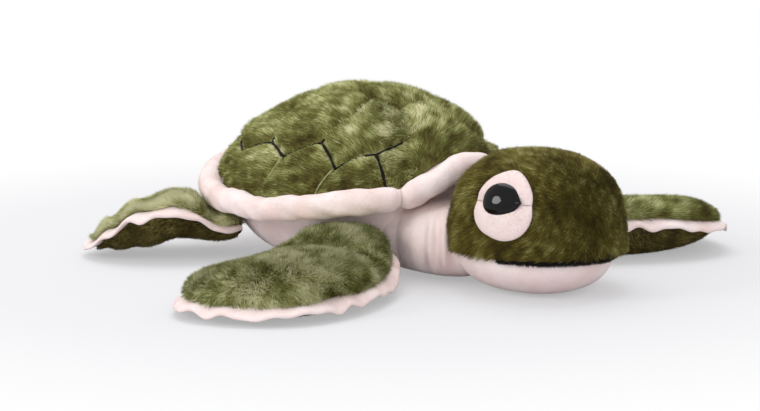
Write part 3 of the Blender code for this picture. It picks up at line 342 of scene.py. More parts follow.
def eased(values, knots, heights):
    """Heights between knots, joined by half waves of a cosine, so that each knot is level."""
    knots, heights = np.asarray(knots), np.asarray(heights)
    span = np.clip(np.searchsorted(knots, values, side="right") - 1, 0, len(knots) - 2)
    share = np.clip((values - knots[span]) / (knots[span + 1] - knots[span]), 0.0, 1.0)
    return heights[span] + (heights[span + 1] - heights[span]) * (1.0 - np.cos(math.pi * share)) / 2.0


def signed_power(values, power):
    """The size of each value to a power, with its sign kept."""
    return np.sign(values) * np.abs(values) ** power


def turn_from_front(turns):
    """The turn from the front, as a share of half a turn."""
    return np.abs((turns + math.pi) % FULL_TURN - math.pi) / math.pi


def seam_height(turns):
    """Height of the seam between shell and belly."""
    return eased(turn_from_front(turns), SEAM_KNOTS, SEAM_HEIGHTS)


def shell_outline(turns, growth=0.0):
    """Outline from above: half width times sin to 2/q, half length times cos to 2/q, with q the squareness."""
    power = 2.0 / np.where(np.cos(turns) > 0.0, FRONT_SQUARENESS, REAR_SQUARENESS)
    return np.stack(((SHELL_HALF_WIDTH + growth) * signed_power(np.sin(turns), power),
                     SHELL_MIDDLE_Y - (SHELL_HALF_LENGTH + growth) * signed_power(np.cos(turns), power)), axis=-1)


def shell_dome(shares, turns, inset=PILE_ROOM):
    """The dome: seam + (top - seam) times (1 - share squared) to 0.7, over the outline drawn in to the crown. The
    pile gets less room near the seam."""
    centre = np.array((0.0, CROWN_Y))
    inset = inset - (inset - EDGE_ROOM) * shares ** 8
    flat = centre + (shell_outline(turns, -inset) - centre) * shares[:, None]
    seam = seam_height(turns)
    return np.column_stack((flat, seam + (SHELL_TOP - inset - seam) * (1.0 - shares ** 2) ** 0.7))


def over_dome(flat):
    """The dome's place over a point seen from above. Its turn is read from a table of the outline's directions."""
    turns = np.linspace(-math.pi, math.pi, 1441)
    edge = shell_outline(turns, -PILE_ROOM) - (0.0, CROWN_Y)
    away = np.asarray(flat) - (0.0, CROWN_Y)
    turn = np.interp(np.arctan2(away[:, 0], -away[:, 1]), np.arctan2(edge[:, 0], -edge[:, 1]), turns)
    reach = np.linalg.norm(shell_outline(turn, -PILE_ROOM) - (0.0, CROWN_Y), axis=1)
    return shell_dome(np.clip(np.linalg.norm(away, axis=1) / reach, 0.0, 1.0), turn)


# %% [markdown]
# The scutes are drawn from above, for the right half, and mirrored. Two zigzags run from front to rear, one beside
# the spine and one along the side, with lines between them and down to the rim. The short lines that lean back
# are wide satin stitch, and most others are a thin running stitch that the pile half hides. The ones down to the rim
# show a pale edge of parted pile, and the ones along the spine are only grooves.

# %% Scute lines
WIDE_LINES = (((-41, -71.5), (-43.5, -84)), ((-53, -38.5), (-57.5, -56)), ((-56, 1.5), (-62, -15.5)),
              ((-45, 43), (-54.5, 29.5)), ((-20, 60), (-33, 55)))
THIN_LINES = (((-41, -71.5), (-57.5, -56)), ((-53, -38.5), (-62, -15.5)), ((-56, 1.5), (-54.5, 29.5)),
              ((-41, -71.5), (-30, -75.5), (-22, -78)), ((-53, -38.5), (-43.5, -42), (-36, -44), (-24, -43.5)),
              ((-56, 1.5), (-43.5, 5.5), (-36, 5)), ((-45, 43), (-18, 35)), ((-45, 43), (-33, 55)))
PALE_LINES = (((-58, -55), (-69.5, -46)), ((-62, -15.5), (-74.5, -8.5)), ((-54.5, 29.5), (-64, 40)),
              ((-33, 55), (-38, 67)), ((-24, -43.5), (-18, -43)), ((-36, 5), (-20, -2)),
              ((-19.5, -79), (-13, -62), (-18, -43), (-13, -22), (-20, -2), (-13, 16), (-18, 35), (-12, 48), (-20, 60)),
              ((-13, -62), (0, -62)), ((-13, -22), (0, -22)), ((-13, 16), (0, 16)), ((-12, 48), (0, 48)))
LINE_STEP = 1.2 * MM


def walked(knots):
    """Even steps along straight runs between knots, which are in millimetres."""
    knots = np.array(knots, float) * MM
    run = np.append(0.0, np.cumsum(np.linalg.norm(np.diff(knots, axis=0), axis=1)))
    steps = np.linspace(0.0, run[-1], max(3, int(run[-1] / LINE_STEP)))
    return np.stack([np.interp(steps, run, knots[:, axis]) for axis in (0, 1)], axis=1)


def mirrored(lines):
    """The walked lines and their mirror images."""
    right = [walked(line) for line in lines]
    return right + [line * (-1.0, 1.0) for line in right]


wide_runs, thin_runs, pale_runs = mirrored(WIDE_LINES), mirrored(THIN_LINES), mirrored(PALE_LINES)
wide_places, pale_places = over_dome(np.concatenate(wide_runs)), over_dome(np.concatenate(pale_runs))
edge_runs = mirrored(PALE_LINES[:3])
sewn_places = over_dome(np.concatenate(wide_runs + thin_runs + edge_runs))
line_places = over_dome(np.concatenate(wide_runs + thin_runs + pale_runs))


def nearest_to(points, places):
    """Distance and way from the nearest of the places to each point, worked out in slices to spare memory."""
    away = np.concatenate([part - places[((part[:, None, :] - places) ** 2).sum(axis=-1).argmin(axis=1)]
                           for part in np.array_split(points, 1 + len(points) // 4000)])
    return np.linalg.norm(away, axis=1), away


def quilted(points):
    """How far the cloth stands out: a groove at the lines, a swell that is full 15 mm away, and some unevenness."""
    away = nearest_to(points, line_places)[0]
    groove = -1.9 * MM * np.exp(-(away / (1.9 * MM)) ** 2)
    return groove + 1.6 * MM * (1.0 - np.exp(-(away / (8 * MM)) ** 2)) - 0.6 * MM + 0.6 * MM * drift(points, 30 * MM, 0)


# %% Shell cloth
def shell_lid(shares, turns):
    """A flat lid inside the shell, from the crown's foot to the seam."""
    centre = np.array((0.0, CROWN_Y))
    flat = centre + (shell_outline(turns, -PILE_ROOM) - centre) * shares[:, None]
    return np.column_stack((flat, seam_height(turns) * shares + SEAM_HEIGHTS[2] * (1.0 - shares)))


shell = pad("shell_plush", shell_dome, shell_lid, (84, 2), 240, moved=quilted, material=backing, body="torso",
            replaced=("shell_cover", "body_stuffing"), slot="green_plush")

# %% [markdown]
# The pile of the shell is brushed outwards from the crown and back towards the tail. It is held down along the
# stitches, leans away from them and parts on the shoulder, where its pale roots show. Its tone carries painted
# shade in the stitched grooves and low by the seam, and painted light where it faces up.

# %% Shell pile
SHELL_BLADES, SHELL_PILE_LENGTH = 62000, 6.6 * MM
PARTING = np.array((-24, -72, 82)) * MM


def shell_pile(name, count):
    """One share of the shell's pile."""
    at = scatter(shell["points"], shell["faces"], count)
    roots, normals = at(shell["points"]), unit(at(shell["normals"]))
    away, from_line = (at(values) for values in nearest_to(shell["points"], line_places))
    wide, from_wide = (at(values) for values in nearest_to(shell["points"], wide_places))
    sewn, pale = (at(nearest_to(shell["points"], places)[0]) for places in (sewn_places, pale_places))
    keep = (sewn > 0.8 * MM) & (wide > 1.2 * MM)
    roots, normals, away, from_line = roots[keep], normals[keep], away[keep], from_line[keep]
    wide, from_wide, pale = wide[keep], from_wide[keep], pale[keep]
    outward = unit((roots - (0.0, CROWN_Y, 0.0)) * (1.0, 1.0, 0.0))
    swirl = np.stack([drift(roots, 45 * MM, kind) for kind in (1, 2, 3)], axis=1)
    parted = np.exp(-(np.linalg.norm(roots - PARTING, axis=1) / (27 * MM)) ** 2)
    comb = outward * 0.5 + np.array((0.0, 0.8, -0.15)) + swirl * (0.35 + 0.7 * parted)[:, None]
    comb += unit(from_line) * (1.8 * np.exp(-(away / (3.2 * MM)) ** 2))[:, None]
    comb += unit(from_wide) * (2.0 * np.exp(-(wide / (4 * MM)) ** 2))[:, None]
    comb += rng.normal(size=roots.shape) * 0.2
    held = 0.30 + 0.70 * (1.0 - np.exp(-(np.minimum(away, wide - MM) / (3.2 * MM)) ** 2))
    over_seam = roots[:, 2] - seam_height(np.arctan2(roots[:, 0], -(roots[:, 1] - CROWN_Y)))
    held *= 0.62 + 0.38 * np.clip(over_seam / (14 * MM), 0.0, 1.0)
    length = SHELL_PILE_LENGTH * held * (0.7 + 0.5 * rng.random(len(roots)))
    tone = 0.40 + 0.10 * drift(roots, 38 * MM, 4) + 0.15 * drift(roots, 8 * MM, 5)
    tone = tone + 0.15 * rng.normal(size=len(roots))
    # Pale roots show where the pile parts on the shoulder. Next to the stitched lines the pile is darker: painted shade
    # in the grooves.
    tone += parted * (0.30 + 0.26 * drift(roots, 14 * MM, 6)) - 0.16 * np.exp(-(away / (2.4 * MM)) ** 2)
    tone += 0.34 * np.exp(-((wide - 1.6 * MM) / (1.2 * MM)) ** 2) + 0.60 * np.exp(-(pale / (1.1 * MM)) ** 2)
    # Painted light and shade: the pile is lighter where it faces up and darker low by the seam.
    tone += (0.22 * np.clip(normals[:, 2] - 0.45, 0.0, 0.45) / 0.45
             - 0.07 * np.clip(1.0 - over_seam / (20 * MM), 0.0, 1.0))
    blades(name, long_pile, "torso", "green_plush", roots, normals, comb, length, tone, lift=40.0)


shell_pile("shell_pile_1", SHELL_BLADES)
shell_pile("shell_pile_2", SHELL_BLADES)

# %% [markdown]
# A tube along a path is made of sections: each is a loop of points round the path's place. The rim, the stitches
# and the trims are all such sweeps, with a cap at each end.

# %% Sweeps
def swept(sections):
    """Points and faces of a closed body through sections of equal size, with a cap at each end."""
    steps, sides = sections.shape[:2]
    here = np.arange(steps * sides).reshape(steps, sides)
    after = np.roll(here, -1, axis=1)
    walls = np.stack((here[:-1], after[:-1], after[1:], here[1:]), axis=-1).reshape(-1, 4).tolist()
    return sections.reshape(-1, 3), walls + [here[0][::-1].tolist(), here[-1].tolist()]


def joined(bodies):
    """Several bodies' points and faces as one list of each."""
    points, faces, count = [], [], 0
    for places, rings in bodies:
        points.append(places)
        faces += [[corner + count for corner in face] for face in rings]
        count += len(places)
    return np.concatenate(points), faces


def stitched(run, half_width, height, sunk):
    """A flat oval thread along a run on the dome, sunk by a depth into the cloth."""
    centre = over_dome(run)
    normals = unit((centre - (0.0, SHELL_MIDDLE_Y, 0.02))
                   / (SHELL_HALF_WIDTH, SHELL_HALF_LENGTH, 0.07) ** np.array(2))
    along = unit(np.gradient(centre, axis=0))
    across = unit(np.cross(along, normals))
    turn = np.linspace(0.0, FULL_TURN, 8, endpoint=False)[None, :, None]
    wobble = (1.0 + 0.25 * drift(centre, 4 * MM, 7))[:, None, None]
    middle = (centre - normals * sunk)[:, None, :]
    return swept(middle + (np.cos(turn) * across[:, None] * half_width * wobble
                           + np.sin(turn) * normals[:, None] * height))


# %% Scute stitching
points, faces = joined([stitched(run, 0.85 * MM, 1.2 * MM, 0.6 * MM) for run in wide_runs]
                       + [stitched(run, 0.38 * MM, 1.0 * MM, 0.25 * MM) for run in thin_runs])
piece_of("scute_embroidery", points, faces, thread, "torso", slot="black_thread")
points, faces = joined([stitched(run, 0.45 * MM, 0.9 * MM, 0.1 * MM) for run in edge_runs])
piece_of("parted_pile_edges", points, faces, parted_pile, "torso", slot="green_plush")
print("stitched lines:", len(wide_runs) + len(thin_runs))

# %% [markdown]
# The belly is a bowl under the shell, settled flat on the floor. The rim that hides the seam is a stuffed roll of
# velour, thicker in front where it is a collar over the neck, and sewn in three lengths that pucker at their ends.

# %% Belly and rim
BELLY_POWER, SEWN_GAP, BELLY_LID = 5.0, 0.3 * MM, 30 * MM
RIM_RADIUS, COLLAR_RADIUS, RIM_DROP, RIM_PULL = 7.0 * MM, 8.2 * MM, 5.0 * MM, 1.0 * MM
COLLAR_TURN = math.radians(28.0)


def belly_bowl(shares, turns):
    """The bowl: flat on the floor, rising to the seam with the fifth power of the share."""
    centre = np.array((0.0, SHELL_MIDDLE_Y))
    flat = centre + (shell_outline(turns) - centre) * shares[:, None]
    return np.column_stack((flat, np.maximum((seam_height(turns) - SEWN_GAP) * shares ** BELLY_POWER, 0.0)))


def belly_lid(shares, turns):
    """The lid of the bowl, just under the seam."""
    centre = np.array((0.0, SHELL_MIDDLE_Y))
    flat = centre + (shell_outline(turns) - centre) * shares[:, None]
    return np.column_stack((flat, (seam_height(turns) - SEWN_GAP) * shares + BELLY_LID * (1.0 - shares)))


pad("belly_velour", belly_lid, belly_bowl, (2, 40), 180, material=velour, body="torso", replaced=("belly_cover",),
    slot="pink_velour")


def rim_centre(turns):
    """Centre, radius and outward way of the roll at turns round the body."""
    swell = np.exp(-((turn_from_front(turns) * math.pi / COLLAR_TURN) ** 2))
    radius = RIM_RADIUS + (COLLAR_RADIUS - RIM_RADIUS) * swell
    step = shell_outline(turns + 1e-4, radius) - shell_outline(turns - 1e-4, radius)
    away = unit(np.stack((step[:, 1], -step[:, 0]), axis=-1))
    flat = shell_outline(turns, radius + SEWN_GAP - RIM_PULL)
    centre = np.column_stack((flat, seam_height(turns) - RIM_DROP))
    return centre, radius, np.column_stack((away, np.zeros(len(turns))))


def rim_sections(turns, ends):
    """Sections of the roll: circles square to the outline, with soft lumps, and drawn in at sewn ends."""
    centre, radius, away = rim_centre(turns)
    angle = np.linspace(0.0, FULL_TURN, 28, endpoint=False)
    way = np.cos(angle)[None, :, None] * away[:, None] + np.sin(angle)[None, :, None] * np.array((0.0, 0.0, 1.0))
    drawn = 1.0 - sum(0.30 * np.exp(-((turns - end) / math.radians(2.0)) ** 2) for end in ends)
    rough = centre[:, None] + way * radius[:, None, None]
    lumps = 1.0 + 0.07 * drift(rough, 30 * MM, 8) + 0.045 * drift(rough, 11 * MM, 9)
    sagged = np.array((0.0, 0.0, 0.7 * MM)) * drift(centre, 40 * MM, 21)[:, None, None]
    return centre[:, None] + sagged + way * (radius * drawn)[:, None, None] * lumps[:, :, None]


def nap(name, points, faces, body, count):
    """A nap of fine pale blades, 1.7 mm long, on a body of velour."""
    quads = np.array([face for face in faces if len(face) == 4])
    triangles = np.concatenate((quads[:, :3], quads[:, (0, 2, 3)]))
    at = scatter(points, triangles, count)
    roots, normals = at(points), unit(at(facing(points, triangles)))
    comb = np.array((0.0, 0.3, -0.6)) + rng.normal(size=roots.shape) * 0.5
    blades(name, velour_nap, body, "pink_velour", roots, normals, comb, 1.7 * MM * (0.7 + 0.6 * rng.random(len(roots))),
           0.5 + 0.25 * rng.normal(size=len(roots)), lift=55.0, width=0.36 * MM, tuft=1.6 * MM, hold=0.35)


gap = SEWN_GAP / SHELL_HALF_WIDTH
for name, start, end, steps in (("rim_front", -COLLAR_TURN, COLLAR_TURN, 90),
                                ("rim_left", COLLAR_TURN + gap, math.pi - gap, 200),
                                ("rim_right", -COLLAR_TURN - gap, gap - math.pi, 200)):
    turns = np.linspace(start, end, steps)
    points, faces = swept(rim_sections(turns, (start, end)))
    if start > end:
        faces = [face[::-1] for face in faces]
    piece_of(name + "_roll", points, faces, velour, "torso", (name,), "pink_velour", fill=0.8)
    nap(name + "_nap", points, faces, "torso", 9000 if name == "rim_front" else 22000)

# %% [markdown]
# The neck is a short velour sleeve that turns in a round seat in the belly. Its cloth hangs in upright folds under
# the collar. The head sits in its front.

# %% Neck
NECK_Y, NECK_RADIUS, NECK_REACH = -88 * MM, 40 * MM, 48 * MM
NECK_TOP, NECK_BOTTOM, NECK_SEAM = 43.5 * MM, 1.0 * MM, 22 * MM


def neck_side(top):
    """Upper or lower face of the neck: (1 - share to 4) to 0.4, over an outline that is squarer towards the head."""
    def surface(shares, turns):
        power = 2.0 / np.where(np.cos(turns) > 0.0, 3.5, 2.0)
        reach = np.where(np.cos(turns) > 0.0, NECK_REACH, NECK_RADIUS)
        folds = 1.0 + 0.035 * np.sin(turns * 19.0 + 2.0 * np.sin(turns * 5.0)) * shares ** 3
        flat = np.stack((NECK_RADIUS * signed_power(np.sin(turns), power) * folds,
                         -reach * signed_power(np.cos(turns), power) * folds), axis=-1) * shares[:, None]
        swell = (1.0 - shares ** 4) ** 0.4
        height = NECK_SEAM + ((NECK_TOP if top else NECK_BOTTOM) - NECK_SEAM) * swell
        return np.column_stack((flat[:, 0], flat[:, 1] + NECK_Y, height))
    return surface


pad("neck_velour", neck_side(True), neck_side(False), (36, 36), 200, material=velour, body="neck",
    replaced=("neck_cover", "neck_stuffing"), slot="pink_velour")

# %% [markdown]
# The head is a low dome over a rounded square, with a flat velour bowl for a jaw. Its pile is clipped shorter than
# the shell's and brushed back from the nose.

# %% Head form
HEAD_Y, HEAD_TWIST = -158 * MM, math.radians(6.0)
HEAD_HALF_WIDTH, HEAD_HALF_LENGTH, HEAD_TOP, HEAD_EDGE = 46 * MM, 47.5 * MM, 76 * MM, 23.5 * MM
HEAD_PLAN_POWER, HEAD_CROWN_POWER = 2.3, 2.75
JAW_INSET, JAW_EDGE, JAW_POWERS = 4 * MM, 22.5 * MM, (3.2, 2.0)
HEAD_PILE_ROOM = 2.4 * MM


def twisted(points):
    """The head's places turned about its upright axis, as it looks a little to its left."""
    x, y = points[..., 0], points[..., 1] - HEAD_Y
    turned = np.array(points)
    turned[..., 0] = x * math.cos(HEAD_TWIST) - y * math.sin(HEAD_TWIST)
    turned[..., 1] = HEAD_Y + x * math.sin(HEAD_TWIST) + y * math.cos(HEAD_TWIST)
    return turned


def head_outline(turns, growth=0.0):
    """Outline of the head from above: half sizes times sin and cos to the power 2 / 2.3."""
    power = 2.0 / HEAD_PLAN_POWER
    return np.stack(((HEAD_HALF_WIDTH + growth) * signed_power(np.sin(turns), power),
                     HEAD_Y - (HEAD_HALF_LENGTH + growth) * signed_power(np.cos(turns), power)), axis=-1)


def head_dome(shares, turns, inset=HEAD_PILE_ROOM):
    """The crown: edge + (top - edge) times (1 - share to 2.75) to the power 1 / 2.75."""
    centre = np.array((0.0, HEAD_Y))
    flat = centre + (head_outline(turns, -inset) - centre) * shares[:, None]
    crown = (1.0 - shares ** HEAD_CROWN_POWER) ** (1.0 / HEAD_CROWN_POWER)
    return twisted(np.column_stack((flat, HEAD_EDGE + (HEAD_TOP - inset - HEAD_EDGE) * crown)))


def flat_lid(outline, middle, height):
    """A level lid over an outline."""
    def surface(shares, turns):
        flat = middle + (outline(turns) - middle) * shares[:, None]
        return twisted(np.column_stack((flat, np.full(len(shares), height))))
    return surface


def jaw_outline(turns):
    """Outline of the jaw: inside the head's, and drawn in further at its front left, where the pile hangs over."""
    lean = np.exp(-((((turns - math.radians(48.0)) + math.pi) % FULL_TURN - math.pi) / math.radians(42.0)) ** 2)
    out = unit(head_outline(turns) - (0.0, HEAD_Y))
    return head_outline(turns, -JAW_INSET) - out * (4.5 * MM * lean)[:, None]


def jaw_bowl(shares, turns):
    """The jaw: flat on the floor, then up to its edge as 1 - (1 - share to 3.2) to the power 1/2."""
    centre = np.array((0.0, HEAD_Y))
    flat = centre + (jaw_outline(turns) - centre) * shares[:, None]
    bowl = 1.0 - (1.0 - shares ** JAW_POWERS[0]) ** (1.0 / JAW_POWERS[1])
    return twisted(np.column_stack((flat, JAW_EDGE * bowl)))


head_middle = np.array((0.0, HEAD_Y))
head = pad("head_plush", head_dome,
           flat_lid(lambda turns: head_outline(turns, -HEAD_PILE_ROOM), head_middle, HEAD_EDGE), (60, 2), 200,
           moved=lambda points: 0.4 * MM * drift(points, 26 * MM, 10), material=backing, body="head",
           replaced=("head_cover", "head_stuffing"), slot="green_plush")
pad("jaw_velour", flat_lid(jaw_outline, head_middle, JAW_EDGE), jaw_bowl, (2, 50), 180,
    material=velour, body="head", replaced=("jaw_cover",), slot="pink_velour")

# %% [markdown]
# Each eye is a polished black dome with a pointed front corner, set between two padded lids of velour. The lids
# meet at the eye's corners, and the lower one stands higher and covers the eye's lower edge.

# %% Eye places
EYE_TURN, EYE_HEIGHT, EYE_RADIUS = math.radians(79.0), 52.5 * MM, 10.3 * MM
PATCH_HALF_WIDTH, PATCH_HALF_HEIGHT, PATCH_RISE = 16.5 * MM, 19 * MM, 0.84


def head_place(turns, height, offset):
    """A place on the head at a turn and a height, moved out by an offset along the surface's normal."""
    def on_surface(turn, level):
        up = np.clip((level - HEAD_EDGE) / (HEAD_TOP - HEAD_EDGE), 0.0, 1.0)
        share = (1.0 - up ** HEAD_CROWN_POWER) ** (1.0 / HEAD_CROWN_POWER)
        flat = head_middle + (head_outline(turn) - head_middle) * share[..., None]
        return np.concatenate((flat, level[..., None]), axis=-1)

    step = 1e-4
    normal = unit(np.cross(on_surface(turns + step, height) - on_surface(turns - step, height),
                           on_surface(turns, height + step) - on_surface(turns, height - step)))
    return twisted(on_surface(turns, height) + normal * offset[..., None])


def pinched(over):
    """The patch's width at a height, as a share: it is drawn in at the eye's corners, where the lids meet."""
    return 1.0 - 0.05 * np.exp(-(over / 0.2) ** 2)


def in_patch(side, turns, heights):
    """1 at the edge of the eye's patch and 0 in its middle."""
    over = (heights - EYE_HEIGHT) / PATCH_HALF_HEIGHT
    over = np.where(over > 0.0, over / PATCH_RISE, over)
    wrapped = (turns - side * EYE_TURN + math.pi) % FULL_TURN - math.pi
    return np.hypot(wrapped * HEAD_HALF_WIDTH / (PATCH_HALF_WIDTH * pinched(over)), over)


# %% Lids and eyes
LID_GAP, LID_BACK = 0.15 * MM, -1.5 * MM
LID_RINGS, LID_SPOKES, LID_BLADES = 22, 64, 3600


def lid(side, upper):
    """Front and back of half a patch, as surfaces over the share to its edge and the turn round the patch."""
    def surface(thick):
        def places(shares, turns):
            across, over = shares * np.cos(turns), shares * np.sin(turns)
            over = np.abs(over) ** 0.9 * (1.0 if upper else -1.0)
            rise = over * PATCH_HALF_HEIGHT * (PATCH_RISE if upper else 1.0)
            heights = EYE_HEIGHT + rise + (LID_GAP if upper else -LID_GAP)
            puff = (2.6 if upper else 3.6) * MM * np.sqrt(np.clip(1.0 - shares ** 2.4, 0.0, 1.0))
            corner = np.exp(-(np.abs(over) / 0.18) ** 2)
            offset = np.where(thick, 0.4 * MM + puff * (1.0 - 0.75 * corner), LID_BACK)
            across = across * pinched(over)
            return head_place(side * (EYE_TURN + across * PATCH_HALF_WIDTH / HEAD_HALF_WIDTH), heights, offset)
        return places
    return surface


def half_disc(surface, rings, spokes):
    """A grid over the shares and half a turn of a patch."""
    shares, turns = np.meshgrid(np.sin(np.linspace(0.0, math.pi / 2.0, rings)), np.linspace(0.0, math.pi, spokes),
                                indexing="ij")
    return surface(shares.ravel(), turns.ravel()).reshape(rings, spokes, 3)


def slab(front, back):
    """Points and faces of a closed body between two grids of one size."""
    rows, columns = front.shape[:2]
    here = np.arange(rows * columns).reshape(rows, columns)
    quads = np.stack((here[:-1, :-1], here[:-1, 1:], here[1:, 1:], here[1:, :-1]), axis=-1).reshape(-1, 4)
    border = np.concatenate((here[0, :-1], here[:-1, -1], here[-1, :0:-1], here[:0:-1, 0]))
    after = np.roll(border, -1)
    sides = np.stack((border, border + rows * columns, after + rows * columns, after), axis=-1)
    faces = np.concatenate((quads, quads[:, ::-1] + rows * columns, sides))
    return np.concatenate((front.reshape(-1, 3), back.reshape(-1, 3))), faces


def mended(item):
    """Merges doubled points and turns every face outwards."""
    work = bmesh.new()
    work.from_mesh(item.data)
    bmesh.ops.remove_doubles(work, verts=work.verts, dist=1e-6)
    bmesh.ops.recalc_face_normals(work, faces=work.faces)
    work.to_mesh(item.data)
    work.free()


def eye_dome(side):
    """The eye: rings about its axis, with a front corner drawn out, from the rim up to the top of the dome."""
    place = head_place(np.array([side * EYE_TURN]), np.array([EYE_HEIGHT]), np.array([0.0]))[0]
    out = unit(head_place(np.array([side * EYE_TURN]), np.array([EYE_HEIGHT]), np.array([MM]))[0] - place)
    up = unit(np.array((0.0, 0.0, 1.0)) - out * out[2])
    front = -np.cross(up, out) * side
    place = place - front * 2.4 * MM + up * 0.8 * MM
    turns = np.linspace(0.0, FULL_TURN, 96, endpoint=False)
    corner = 1.0 + 0.24 * np.exp(-np.abs((turns + math.pi) % FULL_TURN - math.pi) / 0.24)
    flat = np.where(np.sin(turns) < 0.0, 0.80, 0.97)
    rise = np.linspace(0.0, math.pi / 2.0, 16)[:-1]
    radii = np.concatenate(((0.9, 1.0), np.cos(rise)[1:], (0.02,))) * EYE_RADIUS
    heights = np.concatenate(((0.8, 1.8), 1.8 + 3.6 * np.sin(rise)[1:], (5.4,))) * MM
    spokes = (np.cos(turns) * corner)[:, None] * front + (signed_power(np.sin(turns), 0.85) * flat)[:, None] * up
    return swept(place + heights[:, None, None] * out + radii[:, None, None] * spokes[None])


for side, word in ((-1.0, "right"), (1.0, "left")):
    for upper, half in ((True, "upper"), (False, "lower")):
        surface = lid(side, upper)
        points, faces = slab(half_disc(surface(True), LID_RINGS, LID_SPOKES),
                             half_disc(surface(False), LID_RINGS, LID_SPOKES))
        mended(piece_of(f"eye_lid_{half}_{word}", points, faces, velour, "head", (f"eye_patch_{half}_{word}",),
                        "pink_velour", fill=0.7))
        puffed = faces[:(LID_RINGS - 1) * (LID_SPOKES - 1)]
        puffed = puffed if (side > 0.0) == upper else puffed[:, ::-1]
        nap(f"eye_lid_{half}_{word}_nap", points, puffed, "head", LID_BLADES)
    points, faces = eye_dome(side)
    mended(piece_of(f"eye_dome_{word}", points, faces, eye_acrylic, "head", (f"eye_{word}",), "black_acrylic"))
    frame["nodes"][f"eye_washer_{word}"].data.materials.clear()
    frame["nodes"][f"eye_washer_{word}"].data.materials.append(washer_plastic)

# %% [markdown]
# The head's pile stops at the eyes' patches, and at the mouth it hangs a little over the black yarn between head
# and jaw.

# %% Head pile and mouth
HEAD_BLADES, MOUTH_BLADES = 64000, 5200


def head_hair(count):
    """The head's clipped pile, brushed back and down, with painted shade round the eyes and painted light on top."""
    at = scatter(head["points"], head["faces"], count)
    roots, normals = at(head["points"]), unit(at(head["normals"]))
    untwisted = np.arctan2(roots[:, 0], -(roots[:, 1] - HEAD_Y)) - HEAD_TWIST
    patch = np.minimum(in_patch(-1.0, untwisted, roots[:, 2]), in_patch(1.0, untwisted, roots[:, 2]))
    keep = patch > 1.0
    roots, normals, patch = roots[keep], normals[keep], patch[keep]
    outward = unit((roots - (0.0, HEAD_Y, 0.0)) * (1.0, 1.0, 0.0))
    swirl = np.stack([drift(roots, 34 * MM, kind) for kind in (11, 12, 13)], axis=1)
    comb = outward * 0.25 + np.array((-0.45, 0.6, -0.5)) + swirl * 0.3 + rng.normal(size=roots.shape) * 0.2
    eyes = np.array([head_place(np.array([side * EYE_TURN]), np.array([EYE_HEIGHT]), np.array([0.0]))[0]
                     for side in (-1.0, 1.0)])
    comb += unit(nearest_to(roots, eyes)[1]) * (1.6 * np.exp(-((patch - 1.0) / 0.16) ** 2))[:, None]
    length = 4.6 * MM * (0.7 + 0.5 * rng.random(len(roots))) * (1.0 - 0.2 * (outward @ side_way))
    tone = 0.50 + 0.12 * drift(roots, 24 * MM, 14) + 0.08 * drift(roots, 6 * MM, 23)
    tone = tone + 0.09 * drift(roots, 8 * MM, 15) + 0.14 * rng.normal(size=len(roots))
    # Painted light: pile that faces up is lighter.
    tone += 0.05 * drift(roots, 3.5 * MM, 22) + 0.12 * np.clip(normals[:, 2] - 0.5, 0.0, 0.5) / 0.5
    # Painted shade: the pile is darker next to the eyes' patches, which stand out over it.
    tone -= 0.2 * np.exp(-((patch - 1.0) / 0.18) ** 2)
    blades("head_pile", head_pile, "head", "green_plush", roots, normals, comb, length, tone, lift=42.0,
           width=0.46 * MM, tuft=2.0 * MM)


head_hair(HEAD_BLADES)

MOUTH_TURN, MOUTH_SIDES = math.radians(84.0), 12
turns = np.linspace(-MOUTH_TURN, MOUTH_TURN, 120)
ring = np.linspace(0.0, FULL_TURN, MOUTH_SIDES, endpoint=False)
away = unit(head_outline(turns) - head_middle)
flat = jaw_outline(turns) + away * JAW_INSET / 2.0
thick = (0.85 + 0.55 * np.exp(-(turns / 0.12) ** 2) + 0.25 * np.exp(-(turns / 0.7) ** 2)) * MM
across = np.concatenate((away, np.zeros((len(turns), 1))), axis=1)
centre = np.column_stack((flat, np.full(len(turns), HEAD_EDGE - 1.3 * MM)))
sections = centre[:, None] + thick[:, None, None] * (np.cos(ring)[None, :, None] * across[:, None] * 1.3
                                                     + np.sin(ring)[None, :, None] * np.array((0.0, 0.0, 1.0)))
points, faces = swept(twisted(sections))
mended(piece_of("mouth_yarn", points, faces, thread, "head", ("mouth_cord",), "black_thread"))
triangles = np.array([[face[0], face[1], face[2]] for face in faces if len(face) == 4]
                     + [[face[0], face[2], face[3]] for face in faces if len(face) == 4])
at = scatter(points, triangles, MOUTH_BLADES)
roots, normals = at(points), unit(at(points - np.repeat(twisted(centre), MOUTH_SIDES, axis=0)))
blades("mouth_fuzz", black_pile, "head", "black_thread", roots, normals, rng.normal(size=roots.shape),
       np.full(len(roots), 2.2 * MM), 0.3 + 0.2 * rng.random(len(roots)), lift=45.0, width=0.3 * MM,
       tuft=1.5 * MM, hold=0.3)

# %% [markdown]
# A flipper is an outline round a hinge at its root: reach runs out from the hinge and lead runs along it towards
# the front. The upper cover swells from the seam and thins towards the trailing edge, the lower one reaches the
# floor, and a ruffled velour trim is sewn between them.

# %% Flipper form
TRIM_THICKNESS, LIP = 2.4 * MM, 1.8 * MM
SWELL_POWERS, ROLL_SETTLED, TAPER_FADE, BEND_SHARE = (2.6, 0.5), 0.45, 0.75, 0.22
FLAP_UP, FLAP_DOWN = math.radians(15.0), math.radians(20.0)
FRONT = {"angle": 58.0, "radius": 12.5 * MM, "length": 127 * MM, "chord": 92 * MM, "ridge": 0.18, "taper": 0.75,
         "trim": 8.5 * MM, "trim_from": 0.2, "droop": 0.42, "rim_gap": 0.8 * MM, "slack": 0.0,
         "plan": ((-0.06, 0.29), (0.06, 0.41), (0.23, 0.49), (0.44, 0.52), (0.72, 0.45), (0.94, 0.25), (1.00, -0.05),
                  (0.94, -0.34), (0.74, -0.42), (0.42, -0.28), (0.10, -0.12), (-0.06, -0.09)),
         "reach": (0.0, 0.18, 0.40, 0.62, 0.88, 1.0), "seam": (1.0, 0.72, 0.52, 0.50, 0.46, 0.44),
         "top": (0.70, 1.02, 0.80, 1.02, 1.26, 1.12), "under": (0.60, 0.90, 1.0, 1.0, 1.0, 1.0)}
